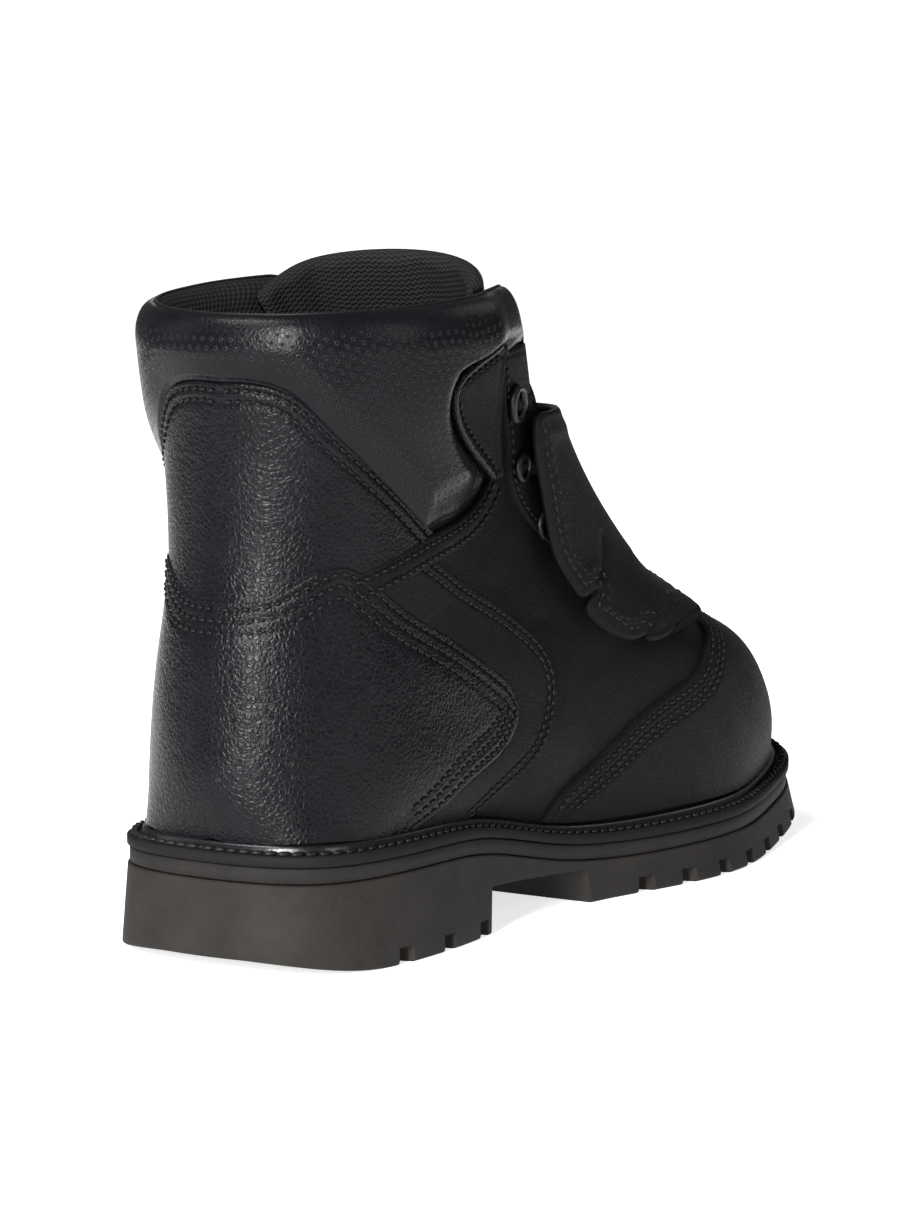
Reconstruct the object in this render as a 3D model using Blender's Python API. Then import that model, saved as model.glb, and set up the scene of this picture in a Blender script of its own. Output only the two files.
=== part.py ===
# Metatarsal guard work boot, right foot, size for a man's foot of about 280 mm.
# X points to the boot's outer (lateral) side, Y to the toe and Z up.
# The boot stands on Z = 0 and its origin lies under the middle of its box.
import math

import bmesh
import bpy
import numpy as np
from mathutils import Matrix

# Driving sizes of the last and the sole, in metres
LENGTH = 0.312
HEEL_WIDTH = 0.087
WAIST_WIDTH = 0.082
BALL_WIDTH = 0.110
TOE_WIDTH = 0.076
SWING = 0.008
HEEL_HEIGHT = 0.0345
BALL_HEIGHT = 0.0200
TOE_SPRING = 0.0085
BOOT_HEIGHT = 0.190
CLEARANCE = 0.0003

# Sole: layers, edges and tread
WELT_WIDTH = 0.0070
WELT_THICK = 0.0032
BEAD_HEIGHT = 0.0021
BEAD_WIDTH = 0.0025
MIDSOLE_THICK = 0.0046
MIDSOLE_STEP = 0.0006
INSOLE_THICK = 0.0060
HEEL_LENGTH = 0.084
SHANK_HEIGHT = 0.0142
SHANK_END = 0.146
HEEL_FLARE = 0.0018
TOE_FLARE = 0.0024
HEEL_BEVEL = 0.0040
LUG_DEPTH = 0.0036
LUG_GROOVE = 0.0052
HEEL_LUG_PITCH = 0.0220
TREAD_PITCH = 0.0185

# Upper and what lies on it
WALL = 0.0024
OVERLAY = 0.0016
REST = 0.0011
SEAT_RISE = 0.0042
COLLAR_PAD = 0.0062
COLLAR_LINING = 0.0040
COLLAR_ROLL = 0.0050
COLLAR_INSIDE = 8.6
TONGUE_THICK = 0.0050
TONGUE_FOOT = 5.2
THROAT_FOOT = 5.6
GUARD_LIFT = 0.0078
GUARD_THICK = 0.0030
GUARD_LOBE = 0.22
LACE_RADIUS = 0.0017
EYELET_RADIUS = 0.0036
EYELET_WIRE = 0.0008
HOOK_WIDTH = 0.0072
HOOK_HEIGHT = 0.0110
HOOK_WIRE = 0.0009

# Finer sizes of the sole
BEVEL_LENGTH = 0.032
BREAST_LEAN = 0.0028
SHANK_FALL = 0.0035
EDGE_ROUND = 0.0010
HEEL_LUG_START = 0.0045
TREAD_START = 0.019
GROOVE_INNER = 0.35
GROOVE_TURN = 0.26
BEAD_GAP = 0.0006
INSOLE_GAP = 0.0030
FEATHER_GAP = 0.0005
HEEL_LUGS = 3
TREAD_END = 0.0120
LUG_OVERRUN = 0.020
CUTTER_DROP = 0.010
SHANK_SLOPE = 0.006
SIDE_BULGE = 0.6

# How finely each piece is faceted
SOLE_RIBS = 32
UPPER_COLUMNS = 17
FRONT_COLUMNS = 6
TONGUE_COLUMNS = 6
GUARD_ROWS = 23
GUARD_COLUMNS_HALF = 6
LACE_POINTS = 7
LACE_CORNERS = 6
EYELET_CORNERS = 12
HOOK_CORNERS = 6
WIRE_CORNERS = 5
UPPER_ROWS = (0.0, 0.4, 1.0, 1.7, 2.5, 3.3, 4.1, 4.9, 5.6, 6.4, 7.3, 8.2, 9.1, 10.0)
TONGUE_ROWS = (5.2, 5.8, 6.5, 7.2, 7.8, 8.2, 8.6, 9.2, 9.8, 10.3, 10.75)

# Shares and lifts of the soft pieces. The bead's rows are reach and rise, and the cuff's inner
# rows are levels above its lower edge and how far the lining thins there.
BEAD = ((1.00, 0.0), (0.85, 0.7), (0.50, 1.0), (0.15, 0.7), (0.00, 0.0))
CUFF_ROWS = (0.0, 0.2, 0.45, 0.75, 1.0)
ROLL_TURNS = (45, 90, 135)
ROLL_FALL = 0.55
END_LIFT = 0.45
END_ROLL = 0.60
LINING_STEP = 0.7
LINING_FOOT = 0.15
LINING_TAPER = 0.0006
RIM_GAP = 0.03
RIM_PAD = 0.72
PAD_RUN = 2.2
COLLAR_END = 0.10
LEVEL_SIZE = 0.0195
TONGUE_WIDTH = ((5.2, 1.1), (6.5, 1.5), (8.0, 1.95), (9.0, 2.3), (10.8, 2.35))
TONGUE_CORNER = 0.45
GUARD_KICK = 0.0010
GUARD_LOBES = 2
LACE_SIDE = 3.08
LACE_REST = 0.0010
LACE_TOP = 0.16
LACE_TWIST = 0.1
LINING_EXTRA = 0.0008
TONGUE_RUN = (0.9, 0.7, 1.5)
KICK_START = 0.7
LOBE_START = 0.8

# Outline of the sole's top edge: place along the length, lateral and medial half-widths
# as shares of the named width, which width that is, and how far the row swings inward.
# Columns: row, along, lateral, medial, width, swing
OUTLINE = (
    ("back", 0.000, 0.00, 0.00, "heel", 0.00),
    ("corner", 0.030, 0.38, 0.38, "heel", 0.00),
    ("heel", 0.120, 0.50, 0.50, "heel", 0.00),
    ("breast", 0.270, 0.50, 0.49, "heel", 0.00),
    ("waist", 0.425, 0.54, 0.45, "waist", 0.00),
    ("joint", 0.600, 0.50, 0.43, "ball", 0.00),
    ("ball", 0.700, 0.520, 0.475, "ball", 0.10),
    ("shoulder", 0.825, 0.675, 0.675, "toe", 0.40),
    ("toe", 0.945, 0.505, 0.490, "toe", 0.80),
    ("tip", 1.000, 0.00, 0.00, "toe", 1.00),
)
WIDTHS = {"heel": HEEL_WIDTH, "waist": WAIST_WIDTH, "ball": BALL_WIDTH, "toe": TOE_WIDTH}

# Height of the sole's top edge between the ball's height (0) and the heel's (1)
# Columns: along, rise
SOLE_TOP = ((0.00, 1.00), (0.15, 1.00), (0.27, 0.86), (0.42, 0.22), (0.61, 0.00), (1.00, 0.00))
SPRING_START = 0.69

# The upper's levels, from the welt to the rim. Back and front places are shares of LENGTH,
# heights are shares of BOOT_HEIGHT, and each half-width is a share of the last's own width
# at that station. The first level, the feather, follows the sole's edge and has no row.
STATIONS = (("back", 0.00), ("heel", 0.14), ("waist", 0.45), ("ball", 0.70), ("toe", 0.89))
# Columns: level, back_y, back_z, front_y, front_z, swing, heel_w, waist_w, ball_w, toe_w
LEVELS = (
    ("bulge", 0.009, 0.270, 0.980, 0.200, 0.95, 0.483, 0.475, 0.455, 0.565),
    ("wall", 0.008, 0.360, 0.964, 0.285, 0.90, 0.482, 0.478, 0.450, 0.540),
    ("shoulder", 0.012, 0.440, 0.922, 0.350, 0.80, 0.466, 0.462, 0.420, 0.495),
    ("roof", 0.018, 0.510, 0.850, 0.395, 0.60, 0.440, 0.442, 0.375, 0.410),
    ("vamp", 0.027, 0.575, 0.750, 0.455, 0.40, 0.412, 0.435, 0.335, 0.325),
    ("instep", 0.034, 0.645, 0.662, 0.545, 0.20, 0.396, 0.435, 0.318, 0.315),
    ("ankle", 0.036, 0.715, 0.578, 0.655, 0.10, 0.386, 0.445, 0.322, 0.325),
    ("throat", 0.035, 0.795, 0.508, 0.770, 0.00, 0.388, 0.475, 0.335, 0.345),
    ("cuff", 0.030, 0.880, 0.455, 0.880, 0.00, 0.398, 0.535, 0.370, 0.375),
    ("rim", 0.026, 0.960, 0.425, 0.985, 0.00, 0.405, 0.565, 0.395, 0.395),
)
# Chart places on the upper: around is 0 at the back, 5 at the front, and level is 0 at the
# welt, 10 at the rim. Each table holds the outer side, and the inner side mirrors it.
# Columns of the two edges: first place, second place
THROAT_EDGE = ((0.0, 3.60), (5.6, 3.60), (7.4, 3.48), (8.6, 3.55), (10.0, 3.75), (11.0, 3.85))
COLLAR_EDGE = ((0.00, 9.08), (0.33, 9.05), (0.55, 8.84), (1.03, 7.68), (1.33, 6.86), (1.50, 6.45),
               (1.68, 6.95), (1.84, 8.40), (2.05, 9.10), (2.55, 9.42), (3.80, 9.45))
# Columns: around, low, high
COUNTER = ((0.00, 0.00, 4.72), (0.33, 0.00, 4.88), (0.55, 0.00, 5.40), (0.76, 0.00, 5.64),
           (0.98, 0.00, 5.20), (1.12, 0.10, 4.64), (1.30, 1.04, 4.06), (1.50, 1.44, 3.28),
           (1.64, 1.90, 2.65), (1.68, 2.24, 2.34))
CAP = ((5.00, 0.00, 4.30), (4.40, 0.00, 4.20), (3.80, 0.00, 3.95), (3.40, 0.00, 3.50),
       (3.10, 0.00, 2.90), (2.78, 0.00, 2.26), (2.38, 0.00, 1.50), (2.05, 0.05, 0.82),
       (1.88, 0.15, 0.42))
# Columns: inner around, inner level, outer around, outer level
SADDLE = ((2.22, 6.86, 2.42, 6.46), (1.83, 6.50, 1.85, 6.10), (1.48, 6.08, 1.50, 5.66),
          (1.22, 5.84, 1.62, 5.24), (1.12, 5.36, 1.83, 4.72), (1.24, 4.68, 1.93, 3.96),
          (1.46, 3.92, 1.97, 3.12), (1.76, 2.86, 1.98, 2.40), (1.80, 2.24, 1.94, 1.94),
          (1.71, 1.62, 1.84, 1.36), (1.44, 0.98, 1.64, 0.86), (1.24, 0.42, 1.44, 0.42))
# Columns: level, width
EYESTAY = ((5.60, 0.70), (6.00, 0.80), (6.60, 0.95), (7.20, 0.95), (8.00, 0.82), (8.80, 0.90),
           (9.20, 0.95))
# Columns: left around, right around, level
FACING = ((2.20, 2.40, 7.36), (2.00, 2.50, 7.80), (1.90, 2.60, 8.30), (1.92, 2.54, 8.70),
          (2.12, 2.50, 9.05), (2.36, 2.48, 9.22))
# Columns: edge around, edge level, middle level
GUARD = ((3.25, 8.52, 8.50), (2.95, 8.30, 8.30), (2.80, 7.60, 7.80), (2.70, 7.00, 7.30),
         (2.58, 6.35, 6.80), (2.50, 5.70, 6.40), (2.48, 5.05, 6.05), (2.52, 4.76, 5.90),
         (2.68, 4.92, 5.84), (2.50, 4.52, 5.74), (2.42, 4.00, 5.52), (2.45, 3.40, 5.30),
         (2.62, 3.12, 5.16), (2.80, 3.46, 5.06), (2.70, 3.00, 4.98), (2.92, 3.00, 4.90),
         (3.15, 3.30, 4.84))
EYELETS = (("low", 2.72, 6.45), ("high", 2.73, 7.44))
HOOK_PLACE = (2.88, 8.46)
RIM = len(LEVELS)
FRONT = len(STATIONS)


def spline(knots, values, closed=False):
    """Smooth curve through rows of values, straight beyond its ends."""
    knots = np.asarray(knots, float)
    rows = np.asarray(values, float).reshape(len(knots), -1)
    step = np.diff(knots)
    slope = np.diff(rows, axis=0) / step[:, None]
    system = np.eye(len(knots))
    target = np.zeros_like(rows)
    for i in range(1, len(knots) - 1):
        system[i, i - 1:i + 2] = step[i - 1], 2 * (step[i - 1] + step[i]), step[i]
        target[i] = 6 * (slope[i] - slope[i - 1])
    if closed:
        system[0, -1] = -1
        system[-1, :] = 0
        system[-1, [0, 1, -2, -1]] = 2 * step[0], step[0], step[-1], 2 * step[-1]
        target[-1] = 6 * (slope[0] - slope[-1])
    bend = np.linalg.solve(system, target)

    def at(place):
        place = np.asarray(place, float)
        if closed:
            place = knots[0] + np.mod(place - knots[0], knots[-1] - knots[0])
        inside = np.clip(place, knots[0], knots[-1])
        i = np.clip(np.searchsorted(knots, inside, side="right") - 1, 0, len(step) - 1)
        h = step[i][..., None]
        a = ((knots[i + 1] - inside)[..., None]) / h
        b = 1 - a
        value = (a * rows[i] + b * rows[i + 1]
                 + ((a ** 3 - a) * bend[i] + (b ** 3 - b) * bend[i + 1]) * h ** 2 / 6)
        run = (slope[i] + ((1 - 3 * a ** 2) * bend[i] + (3 * b ** 2 - 1) * bend[i + 1]) * h / 6)
        return value + run * (place - inside)[..., None]

    return at


def between(low, high, share):
    return low + (high - low) * share


def smooth(share):
    """Soft step from 0 to 1."""
    share = np.clip(share, 0, 1)
    return share * share * (3 - 2 * share)


def outline_stations():
    """The sole's edge as lateral and medial points, and each row's place round it."""
    lateral = []
    medial = []
    for _, along, out, back_in, width, swing in OUTLINE:
        middle = -SWING * swing
        y = along * LENGTH
        lateral.append((middle + out * WIDTHS[width], y))
        medial.append((middle - back_in * WIDTHS[width], y))
    lateral = np.array(lateral)
    medial = np.array(medial)
    chords = (np.linalg.norm(np.diff(lateral, axis=0), axis=1)
              + np.linalg.norm(np.diff(medial, axis=0), axis=1))
    place = np.concatenate(([0], np.cumsum(chords)))
    return lateral, medial, place / place[-1]


LATERAL_EDGE, MEDIAL_EDGE, EDGE_PLACE = outline_stations()
sole_curve = spline(np.concatenate((EDGE_PLACE, 2 - EDGE_PLACE[-2::-1])),
                    np.concatenate((LATERAL_EDGE, MEDIAL_EDGE[-2::-1])), closed=True)
top_curve = spline([row[0] for row in SOLE_TOP], [row[1] for row in SOLE_TOP])


def edge(place, inset=0.0):
    """Point of the sole's edge: place 0 is the heel's back, 1 the toe's tip, 2 the back again."""
    nudge = 1e-4
    point = sole_curve(place)
    run = sole_curve(place + nudge) - sole_curve(place - nudge)
    run /= np.linalg.norm(run, axis=-1, keepdims=True)
    outward = np.stack((run[..., 1], -run[..., 0]), axis=-1)
    return point - outward * np.asarray(inset)[..., None]


def spring(y):
    """Rise of the toe above the floor."""
    start = SPRING_START * LENGTH
    return TOE_SPRING * np.clip((y - start) / (LENGTH - start), 0, 1.1) ** 2


def sole_top(y):
    """Height of the welt's upper face."""
    share = np.clip(y / LENGTH, 0, 1)
    return between(BALL_HEIGHT, HEEL_HEIGHT, top_curve(share)[..., 0]) + spring(y)


def level_curves():
    """One closed curve for each level above the feather, through its stations."""
    curves = []
    widths = (0, HEEL_WIDTH, WAIST_WIDTH, BALL_WIDTH, TOE_WIDTH)
    turns = np.arange(2 * FRONT + 1)
    for _, back_y, back_z, front_y, front_z, swing, *shares in LEVELS:
        shares = (0.0, *shares)
        points = []
        for i, (_, along) in enumerate(STATIONS):
            y = between(back_y, front_y, along) * LENGTH
            z = between(back_z, front_z, along) * BOOT_HEIGHT
            points.append((shares[i] * widths[i], y, z))
        front = (0.0, front_y * LENGTH, front_z * BOOT_HEIGHT)
        other = [(-x, y, z) for x, y, z in points[:0:-1]]
        loop = np.array([*points, front, *other, points[0]])
        middle = (LATERAL_EDGE[:, 0] + MEDIAL_EDGE[:, 0]) / 2
        loop[:, 0] += swing * np.interp(loop[:, 1], LATERAL_EDGE[:, 1], middle)
        curves.append(spline(turns, loop, closed=True))
    return curves


def feather_map():
    """Place round the sole's edge for each station, on both sides."""
    along = np.array([share for _, share in STATIONS] + [1.0])
    reach = WELT_WIDTH / LENGTH
    lateral = np.interp(between(reach, 1 - reach, along), LATERAL_EDGE[:, 1] / LENGTH, EDGE_PLACE)
    lateral[0] = 0.0
    lateral[-1] = 1.0
    knots = np.arange(2 * FRONT + 1)
    return spline(knots, np.concatenate((lateral, 2 - lateral[-2::-1])))


LEVEL_CURVES = level_curves()
feather_place = feather_map()
level_weights = spline(np.arange(RIM + 1), np.eye(RIM + 1))


def last(around, level):
    """Point of the upper's outer face. Around: 0 back, 5 front, the outer side first."""
    around = np.mod(np.asarray(around, float), 2 * FRONT)
    level = np.broadcast_to(np.asarray(level, float), around.shape)
    foot = edge(feather_place(around)[..., 0], WELT_WIDTH)
    height = sole_top(foot[..., 1]) + FEATHER_GAP
    rows = [np.concatenate((foot, height[..., None]), axis=-1)]
    rows += [curve(around) for curve in LEVEL_CURVES]
    weights = level_weights(level)
    return sum(weights[..., j:j + 1] * row for j, row in enumerate(rows))


def skin(around, level, lift=0.0):
    """Point at a lift from the upper's outer face, along its normal."""
    around, level, lift = np.broadcast_arrays(*(np.asarray(v, float) for v in (around, level, lift)))
    nudge = 0.01
    across = last(around + nudge, level) - last(around - nudge, level)
    up = last(around, level + nudge) - last(around, level - nudge)
    normal = np.cross(across, up)
    normal /= np.linalg.norm(normal, axis=-1, keepdims=True)
    return last(around, level) + normal * lift[..., None]


def throat_edge(level):
    """Where the upper's front edge lies, as a place around."""
    return np.interp(level, [row[0] for row in THROAT_EDGE], [row[1] for row in THROAT_EDGE])


def seat(around):
    """Level just above the storm bead, where the overlays end."""
    around = np.asarray(around, float)
    low = last(around, 0.0)
    high = last(around, 1.0)
    return SEAT_RISE / (high[..., 2] - low[..., 2])


def remove_scene_objects():
    for old in list(bpy.data.objects):
        bpy.data.objects.remove(old, do_unlink=True)


def material(name, colour, roughness, metallic=0.0):
    new = bpy.data.materials.new(name)
    new.use_nodes = True
    shader = new.node_tree.nodes["Principled BSDF"]
    shader.inputs["Base Color"].default_value = (*colour, 1.0)
    shader.inputs["Roughness"].default_value = roughness
    shader.inputs["Metallic"].default_value = metallic
    return new


def piece(name, vertices, faces, finish, collection):
    """One closed piece from its points and faces, with its normals outward."""
    mesh = bpy.data.meshes.new(name)
    mesh.from_pydata([tuple(float(c) for c in v) for v in vertices], [], faces)
    shape = bmesh.new()
    shape.from_mesh(mesh)
    bmesh.ops.remove_doubles(shape, verts=shape.verts, dist=1e-6)
    bmesh.ops.recalc_face_normals(shape, faces=shape.faces)
    shape.to_mesh(mesh)
    shape.free()
    mesh.materials.append(finish)
    new = bpy.data.objects.new(name, mesh)
    collection.objects.link(new)
    return new


def grid_faces(rows, columns):
    """Quads over a grid of points."""
    faces = []
    for i in range(rows - 1):
        for j in range(columns - 1):
            a = i * columns + j
            b = a + columns
            faces.append((a, a + 1, b + 1, b))
    return faces


def thicken(name, low, high, faces, finish, collection):
    """Closed solid between two like sheets of points, joined round their open edges."""
    count = len(low)
    open_edges = set()
    for face in faces:
        for a, b in zip(face, face[1:] + face[:1]):
            if (b, a) in open_edges:
                open_edges.remove((b, a))
            else:
                open_edges.add((a, b))
    walls = [(a, b, b + count, a + count) for a, b in sorted(open_edges)]
    inner = [face[::-1] for face in faces]
    outer = [tuple(corner + count for corner in face) for face in faces]
    return piece(name, np.concatenate((low, high)), inner + outer + walls, finish, collection)


def panel(name, around, level, low, high, finish, collection):
    """Overlay on the upper over a grid of chart places, from one lift to another."""
    faces = grid_faces(*around.shape)
    inner = skin(around, level, low).reshape(-1, 3)
    outer = skin(around, level, high).reshape(-1, 3)
    return thicken(name, inner, outer, faces, finish, collection)


def sweep(name, sections, finish, collection, closed=False):
    """Solid through closed sections, capped at its ends unless it runs right round."""
    count, corners = sections.shape[:2]
    faces = []
    for i in range(count if closed else count - 1):
        for j in range(corners):
            k = (j + 1) % corners
            m = (i + 1) % count
            faces.append((i * corners + j, i * corners + k, m * corners + k, m * corners + j))
    if not closed:
        faces.append(tuple(range(corners))[::-1])
        faces.append(tuple((count - 1) * corners + j for j in range(corners)))
    return piece(name, sections.reshape(-1, 3), faces, finish, collection)


def edge_places(ribs):
    """Places round the sole's edge for ribs that cross it, and the pairs that they join."""
    lateral = np.linspace(0, 1, ribs)
    return np.concatenate((lateral, 2 - lateral[-2:0:-1]))


def layer(name, rings, ribs, finish, collection):
    """Sole layer through rings of points, low to high, closed across by its ribs."""
    count = len(rings[0])
    faces = []
    for r in range(len(rings) - 1):
        for j in range(count):
            k = (j + 1) % count
            faces.append((r * count + j, r * count + k, (r + 1) * count + k, (r + 1) * count + j))
    for start, turn in ((0, -1), ((len(rings) - 1) * count, 1)):
        for i in range(ribs - 1):
            ring = [start + i, start + i + 1]
            if i + 1 < ribs - 1:
                ring.append(start + (2 * ribs - 2 - (i + 1)) % count)
            if i > 0:
                ring.append(start + (2 * ribs - 2 - i) % count)
            faces.append(tuple(ring[::turn]))
    return piece(name, np.concatenate(rings), faces, finish, collection)


def ring(ribs, inset, height):
    """Ring of points round the sole's edge. Inset and height are functions of y."""
    places = edge_places(ribs)
    y = sole_curve(places)[..., 1]
    points = edge(places, inset(y))
    return np.concatenate((points, height(points[..., 1])[..., None]), axis=-1)


def cut(target, cutter):
    """Take the cutter out of the target for good."""
    modifier = target.modifiers.new("cut", "BOOLEAN")
    modifier.operation = "DIFFERENCE"
    modifier.solver = "EXACT"
    modifier.object = cutter
    cutter.hide_render = True
    cutter.display_type = "WIRE"


def bars_cutter(name, bars, collection):
    """One cutter of separate boxes, each with its centre, size and turn about the vertical."""
    mesh = bpy.data.meshes.new(name)
    shape = bmesh.new()
    for centre, size, turn in bars:
        place = Matrix.Translation(centre) @ Matrix.Rotation(turn, 4, "Z") @ Matrix.Diagonal((*size, 1))
        bmesh.ops.create_cube(shape, size=1, matrix=place)
    shape.to_mesh(mesh)
    shape.free()
    new = bpy.data.objects.new(name, mesh)
    collection.objects.link(new)
    return new


def ruled(table, samples, mirror=None):
    """Rows of a table on one smooth curve, with a first column that may be mirrored."""
    rows = np.array(table, float)
    if mirror is not None:
        other = rows[:0:-1] if rows[0, 0] == mirror else rows[::-1]
        other = other.copy()
        other[:, 0] = 2 * mirror - other[:, 0]
        rows = np.concatenate((other, rows))
    places = np.linspace(0, len(rows) - 1, (len(rows) - 1) * samples + 1)
    return spline(np.arange(len(rows)), rows)(places)


def across(start, end, count):
    """Grid from one column of values to another."""
    share = np.linspace(0, 1, count)
    return start[:, None] + (end - start)[:, None] * share[None, :]


def flip(around):
    """The inner side's place around for a place on the outer side."""
    return 2 * FRONT - around


def upper_places():
    """Places around of the upper's columns below its throat, from back to back."""
    side = THROAT_EDGE[0][1] * np.arange(-UPPER_COLUMNS, UPPER_COLUMNS + 1) / UPPER_COLUMNS
    front = np.linspace(THROAT_EDGE[0][1], flip(THROAT_EDGE[0][1]), FRONT_COLUMNS + 1)[1:]
    return [*side, *front, *(side[1:] + 2 * FRONT)]


UPPER_PLACES = upper_places()


def bead_inset(places):
    """How far in from the sole's edge the storm bead reaches, so that it lies by the upper."""
    turns = np.linspace(0, 2 * FRONT, 401)
    around = np.interp(places, feather_place(turns)[..., 0], turns)
    level = BEAD_HEIGHT / (last(around, 1.0)[..., 2] - last(around, 0.0)[..., 2])
    reach = np.full(len(places), WELT_WIDTH)
    rim = edge(places)
    outward = rim - edge(places, 0.001)
    for share in (0.5, 1.0, 1.3):
        point = last(around, share * level)[..., :2]
        reach = np.minimum(reach, np.sum((rim - point) * outward, axis=-1) / 0.001)
    return reach - BEAD_GAP


def make_sole(finishes, parts, cutters):
    """Outsole, midsole, welt and insole."""
    def outsole_top(y):
        return sole_top(y) - WELT_THICK - MIDSOLE_THICK - 2 * CLEARANCE

    def outsole_low(y):
        return HEEL_BEVEL * np.clip(1 - y / BEVEL_LENGTH, 0, 1) ** 2 + spring(y)

    def flare(y):
        heel = HEEL_FLARE * smooth((HEEL_LENGTH * 1.3 - y) / (HEEL_LENGTH * 0.5))
        toe = TOE_FLARE * smooth((y - SHANK_END) / (LENGTH * 0.2))
        return -(heel + toe)

    def flush(y):
        return np.zeros_like(y)

    def side_height(y):
        return between(outsole_low(y), outsole_top(y), 0.5)

    rings = [ring(SOLE_RIBS, lambda y: flare(y) + EDGE_ROUND, outsole_low),
             ring(SOLE_RIBS, flare, lambda y: outsole_low(y) + EDGE_ROUND),
             ring(SOLE_RIBS, lambda y: SIDE_BULGE * flare(y), side_height),
             ring(SOLE_RIBS, flush, outsole_top)]
    outsole = layer("outsole", rings, SOLE_RIBS, finishes["sole"], parts)
    profile = ((HEEL_LENGTH, -CUTTER_DROP), (HEEL_LENGTH + BREAST_LEAN, SHANK_HEIGHT),
               (SHANK_END - SHANK_SLOPE, SHANK_HEIGHT - SHANK_FALL), (SHANK_END, -CUTTER_DROP))
    sides = np.array([[(x, y, z) for y, z in profile] for x in (-BALL_WIDTH, BALL_WIDTH)])
    cut(outsole, sweep("shank_cutter", sides, finishes["sole"], cutters))
    bars = []
    heel_rows = [HEEL_LENGTH - HEEL_LUG_START - i * HEEL_LUG_PITCH for i in range(HEEL_LUGS)]
    tread_rows = np.arange(SHANK_END + TREAD_START, LENGTH - TREAD_END, TREAD_PITCH)
    for y in (*heel_rows, *tread_rows):
        half = float(np.interp(y, LATERAL_EDGE[:, 1], LATERAL_EDGE[:, 0]))
        for side in (-1, 1):
            inner = GROOVE_INNER * half
            reach = half + LUG_OVERRUN - inner
            centre = (side * (inner + reach / 2), float(y), float(spring(np.array(y))))
            bars.append((centre, (reach, LUG_GROOVE, 2 * LUG_DEPTH), side * GROOVE_TURN))
    cut(outsole, bars_cutter("lug_cutter", bars, cutters))

    def midsole_top(y):
        return sole_top(y) - WELT_THICK - CLEARANCE

    def step_in(y):
        return flush(y) + MIDSOLE_STEP

    rings = [ring(SOLE_RIBS, step_in, lambda y: midsole_top(y) - MIDSOLE_THICK),
             ring(SOLE_RIBS, step_in, midsole_top)]
    layer("midsole", rings, SOLE_RIBS, finishes["midsole"], parts)

    places = edge_places(SOLE_RIBS)
    bead = bead_inset(places)
    inner = WELT_WIDTH + WALL
    flat = ((0.0, 0.0, -WELT_THICK), (0.0, 0.0, 0.0))
    roll = [(1.0, -BEAD_WIDTH * reach, BEAD_HEIGHT * rise) for reach, rise in BEAD]
    seam = ((0.0, inner, 0.0), (0.0, inner, -WELT_THICK))
    rings = []
    for share, inset, rise in (*flat, *roll, *seam):
        points = edge(places, share * bead + inset)
        height = sole_top(points[..., 1]) + rise
        rings.append(np.concatenate((points, height[..., None]), axis=-1))
    sweep("welt", np.stack(rings, axis=1), finishes["welt"], parts, closed=True)

    def inside(y):
        return flush(y) + inner + INSOLE_GAP

    rings = [ring(SOLE_RIBS, inside, lambda y: sole_top(y) - WELT_THICK + CLEARANCE),
             ring(SOLE_RIBS, inside, lambda y: sole_top(y) - WELT_THICK + INSOLE_THICK)]
    layer("insole", rings, SOLE_RIBS, finishes["lining"], parts)


def make_upper(finishes, parts):
    """The hollow upper, open at the rim, down the throat and underneath."""
    share = np.linspace(-1, 1, 2 * UPPER_COLUMNS + 1)
    levels = np.array(UPPER_ROWS)
    shaft = share[None, :] * throat_edge(levels)[:, None]
    rows, columns = shaft.shape
    foot = UPPER_ROWS.index(THROAT_FOOT) + 1
    front = across(throat_edge(levels[:foot]), flip(throat_edge(levels[:foot])), FRONT_COLUMNS + 1)
    around = np.concatenate((shaft.ravel(), front.ravel()))
    level = np.concatenate((np.repeat(levels, columns), np.repeat(levels[:foot], FRONT_COLUMNS + 1)))
    faces = grid_faces(rows, columns)
    for i in range(foot - 1):
        for j in range(FRONT_COLUMNS):
            corners = ((i, j), (i, j + 1), (i + 1, j + 1), (i + 1, j))
            face = []
            for row, column in corners:
                if column == 0:
                    face.append(row * columns + columns - 1)
                elif column == FRONT_COLUMNS:
                    face.append(row * columns)
                else:
                    face.append(rows * columns + row * (FRONT_COLUMNS + 1) + column)
            faces.append(tuple(face))
    outer = skin(around, level, 0.0)
    inner = skin(around, level, -WALL)
    inner[level == 0, 2] = outer[level == 0, 2]
    used = sorted({corner for face in faces for corner in face})
    renumber = {old: new for new, old in enumerate(used)}
    faces = [tuple(renumber[corner] for corner in face) for face in faces]
    thicken("upper", inner[used], outer[used], faces, finishes["leather"], parts)


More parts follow.
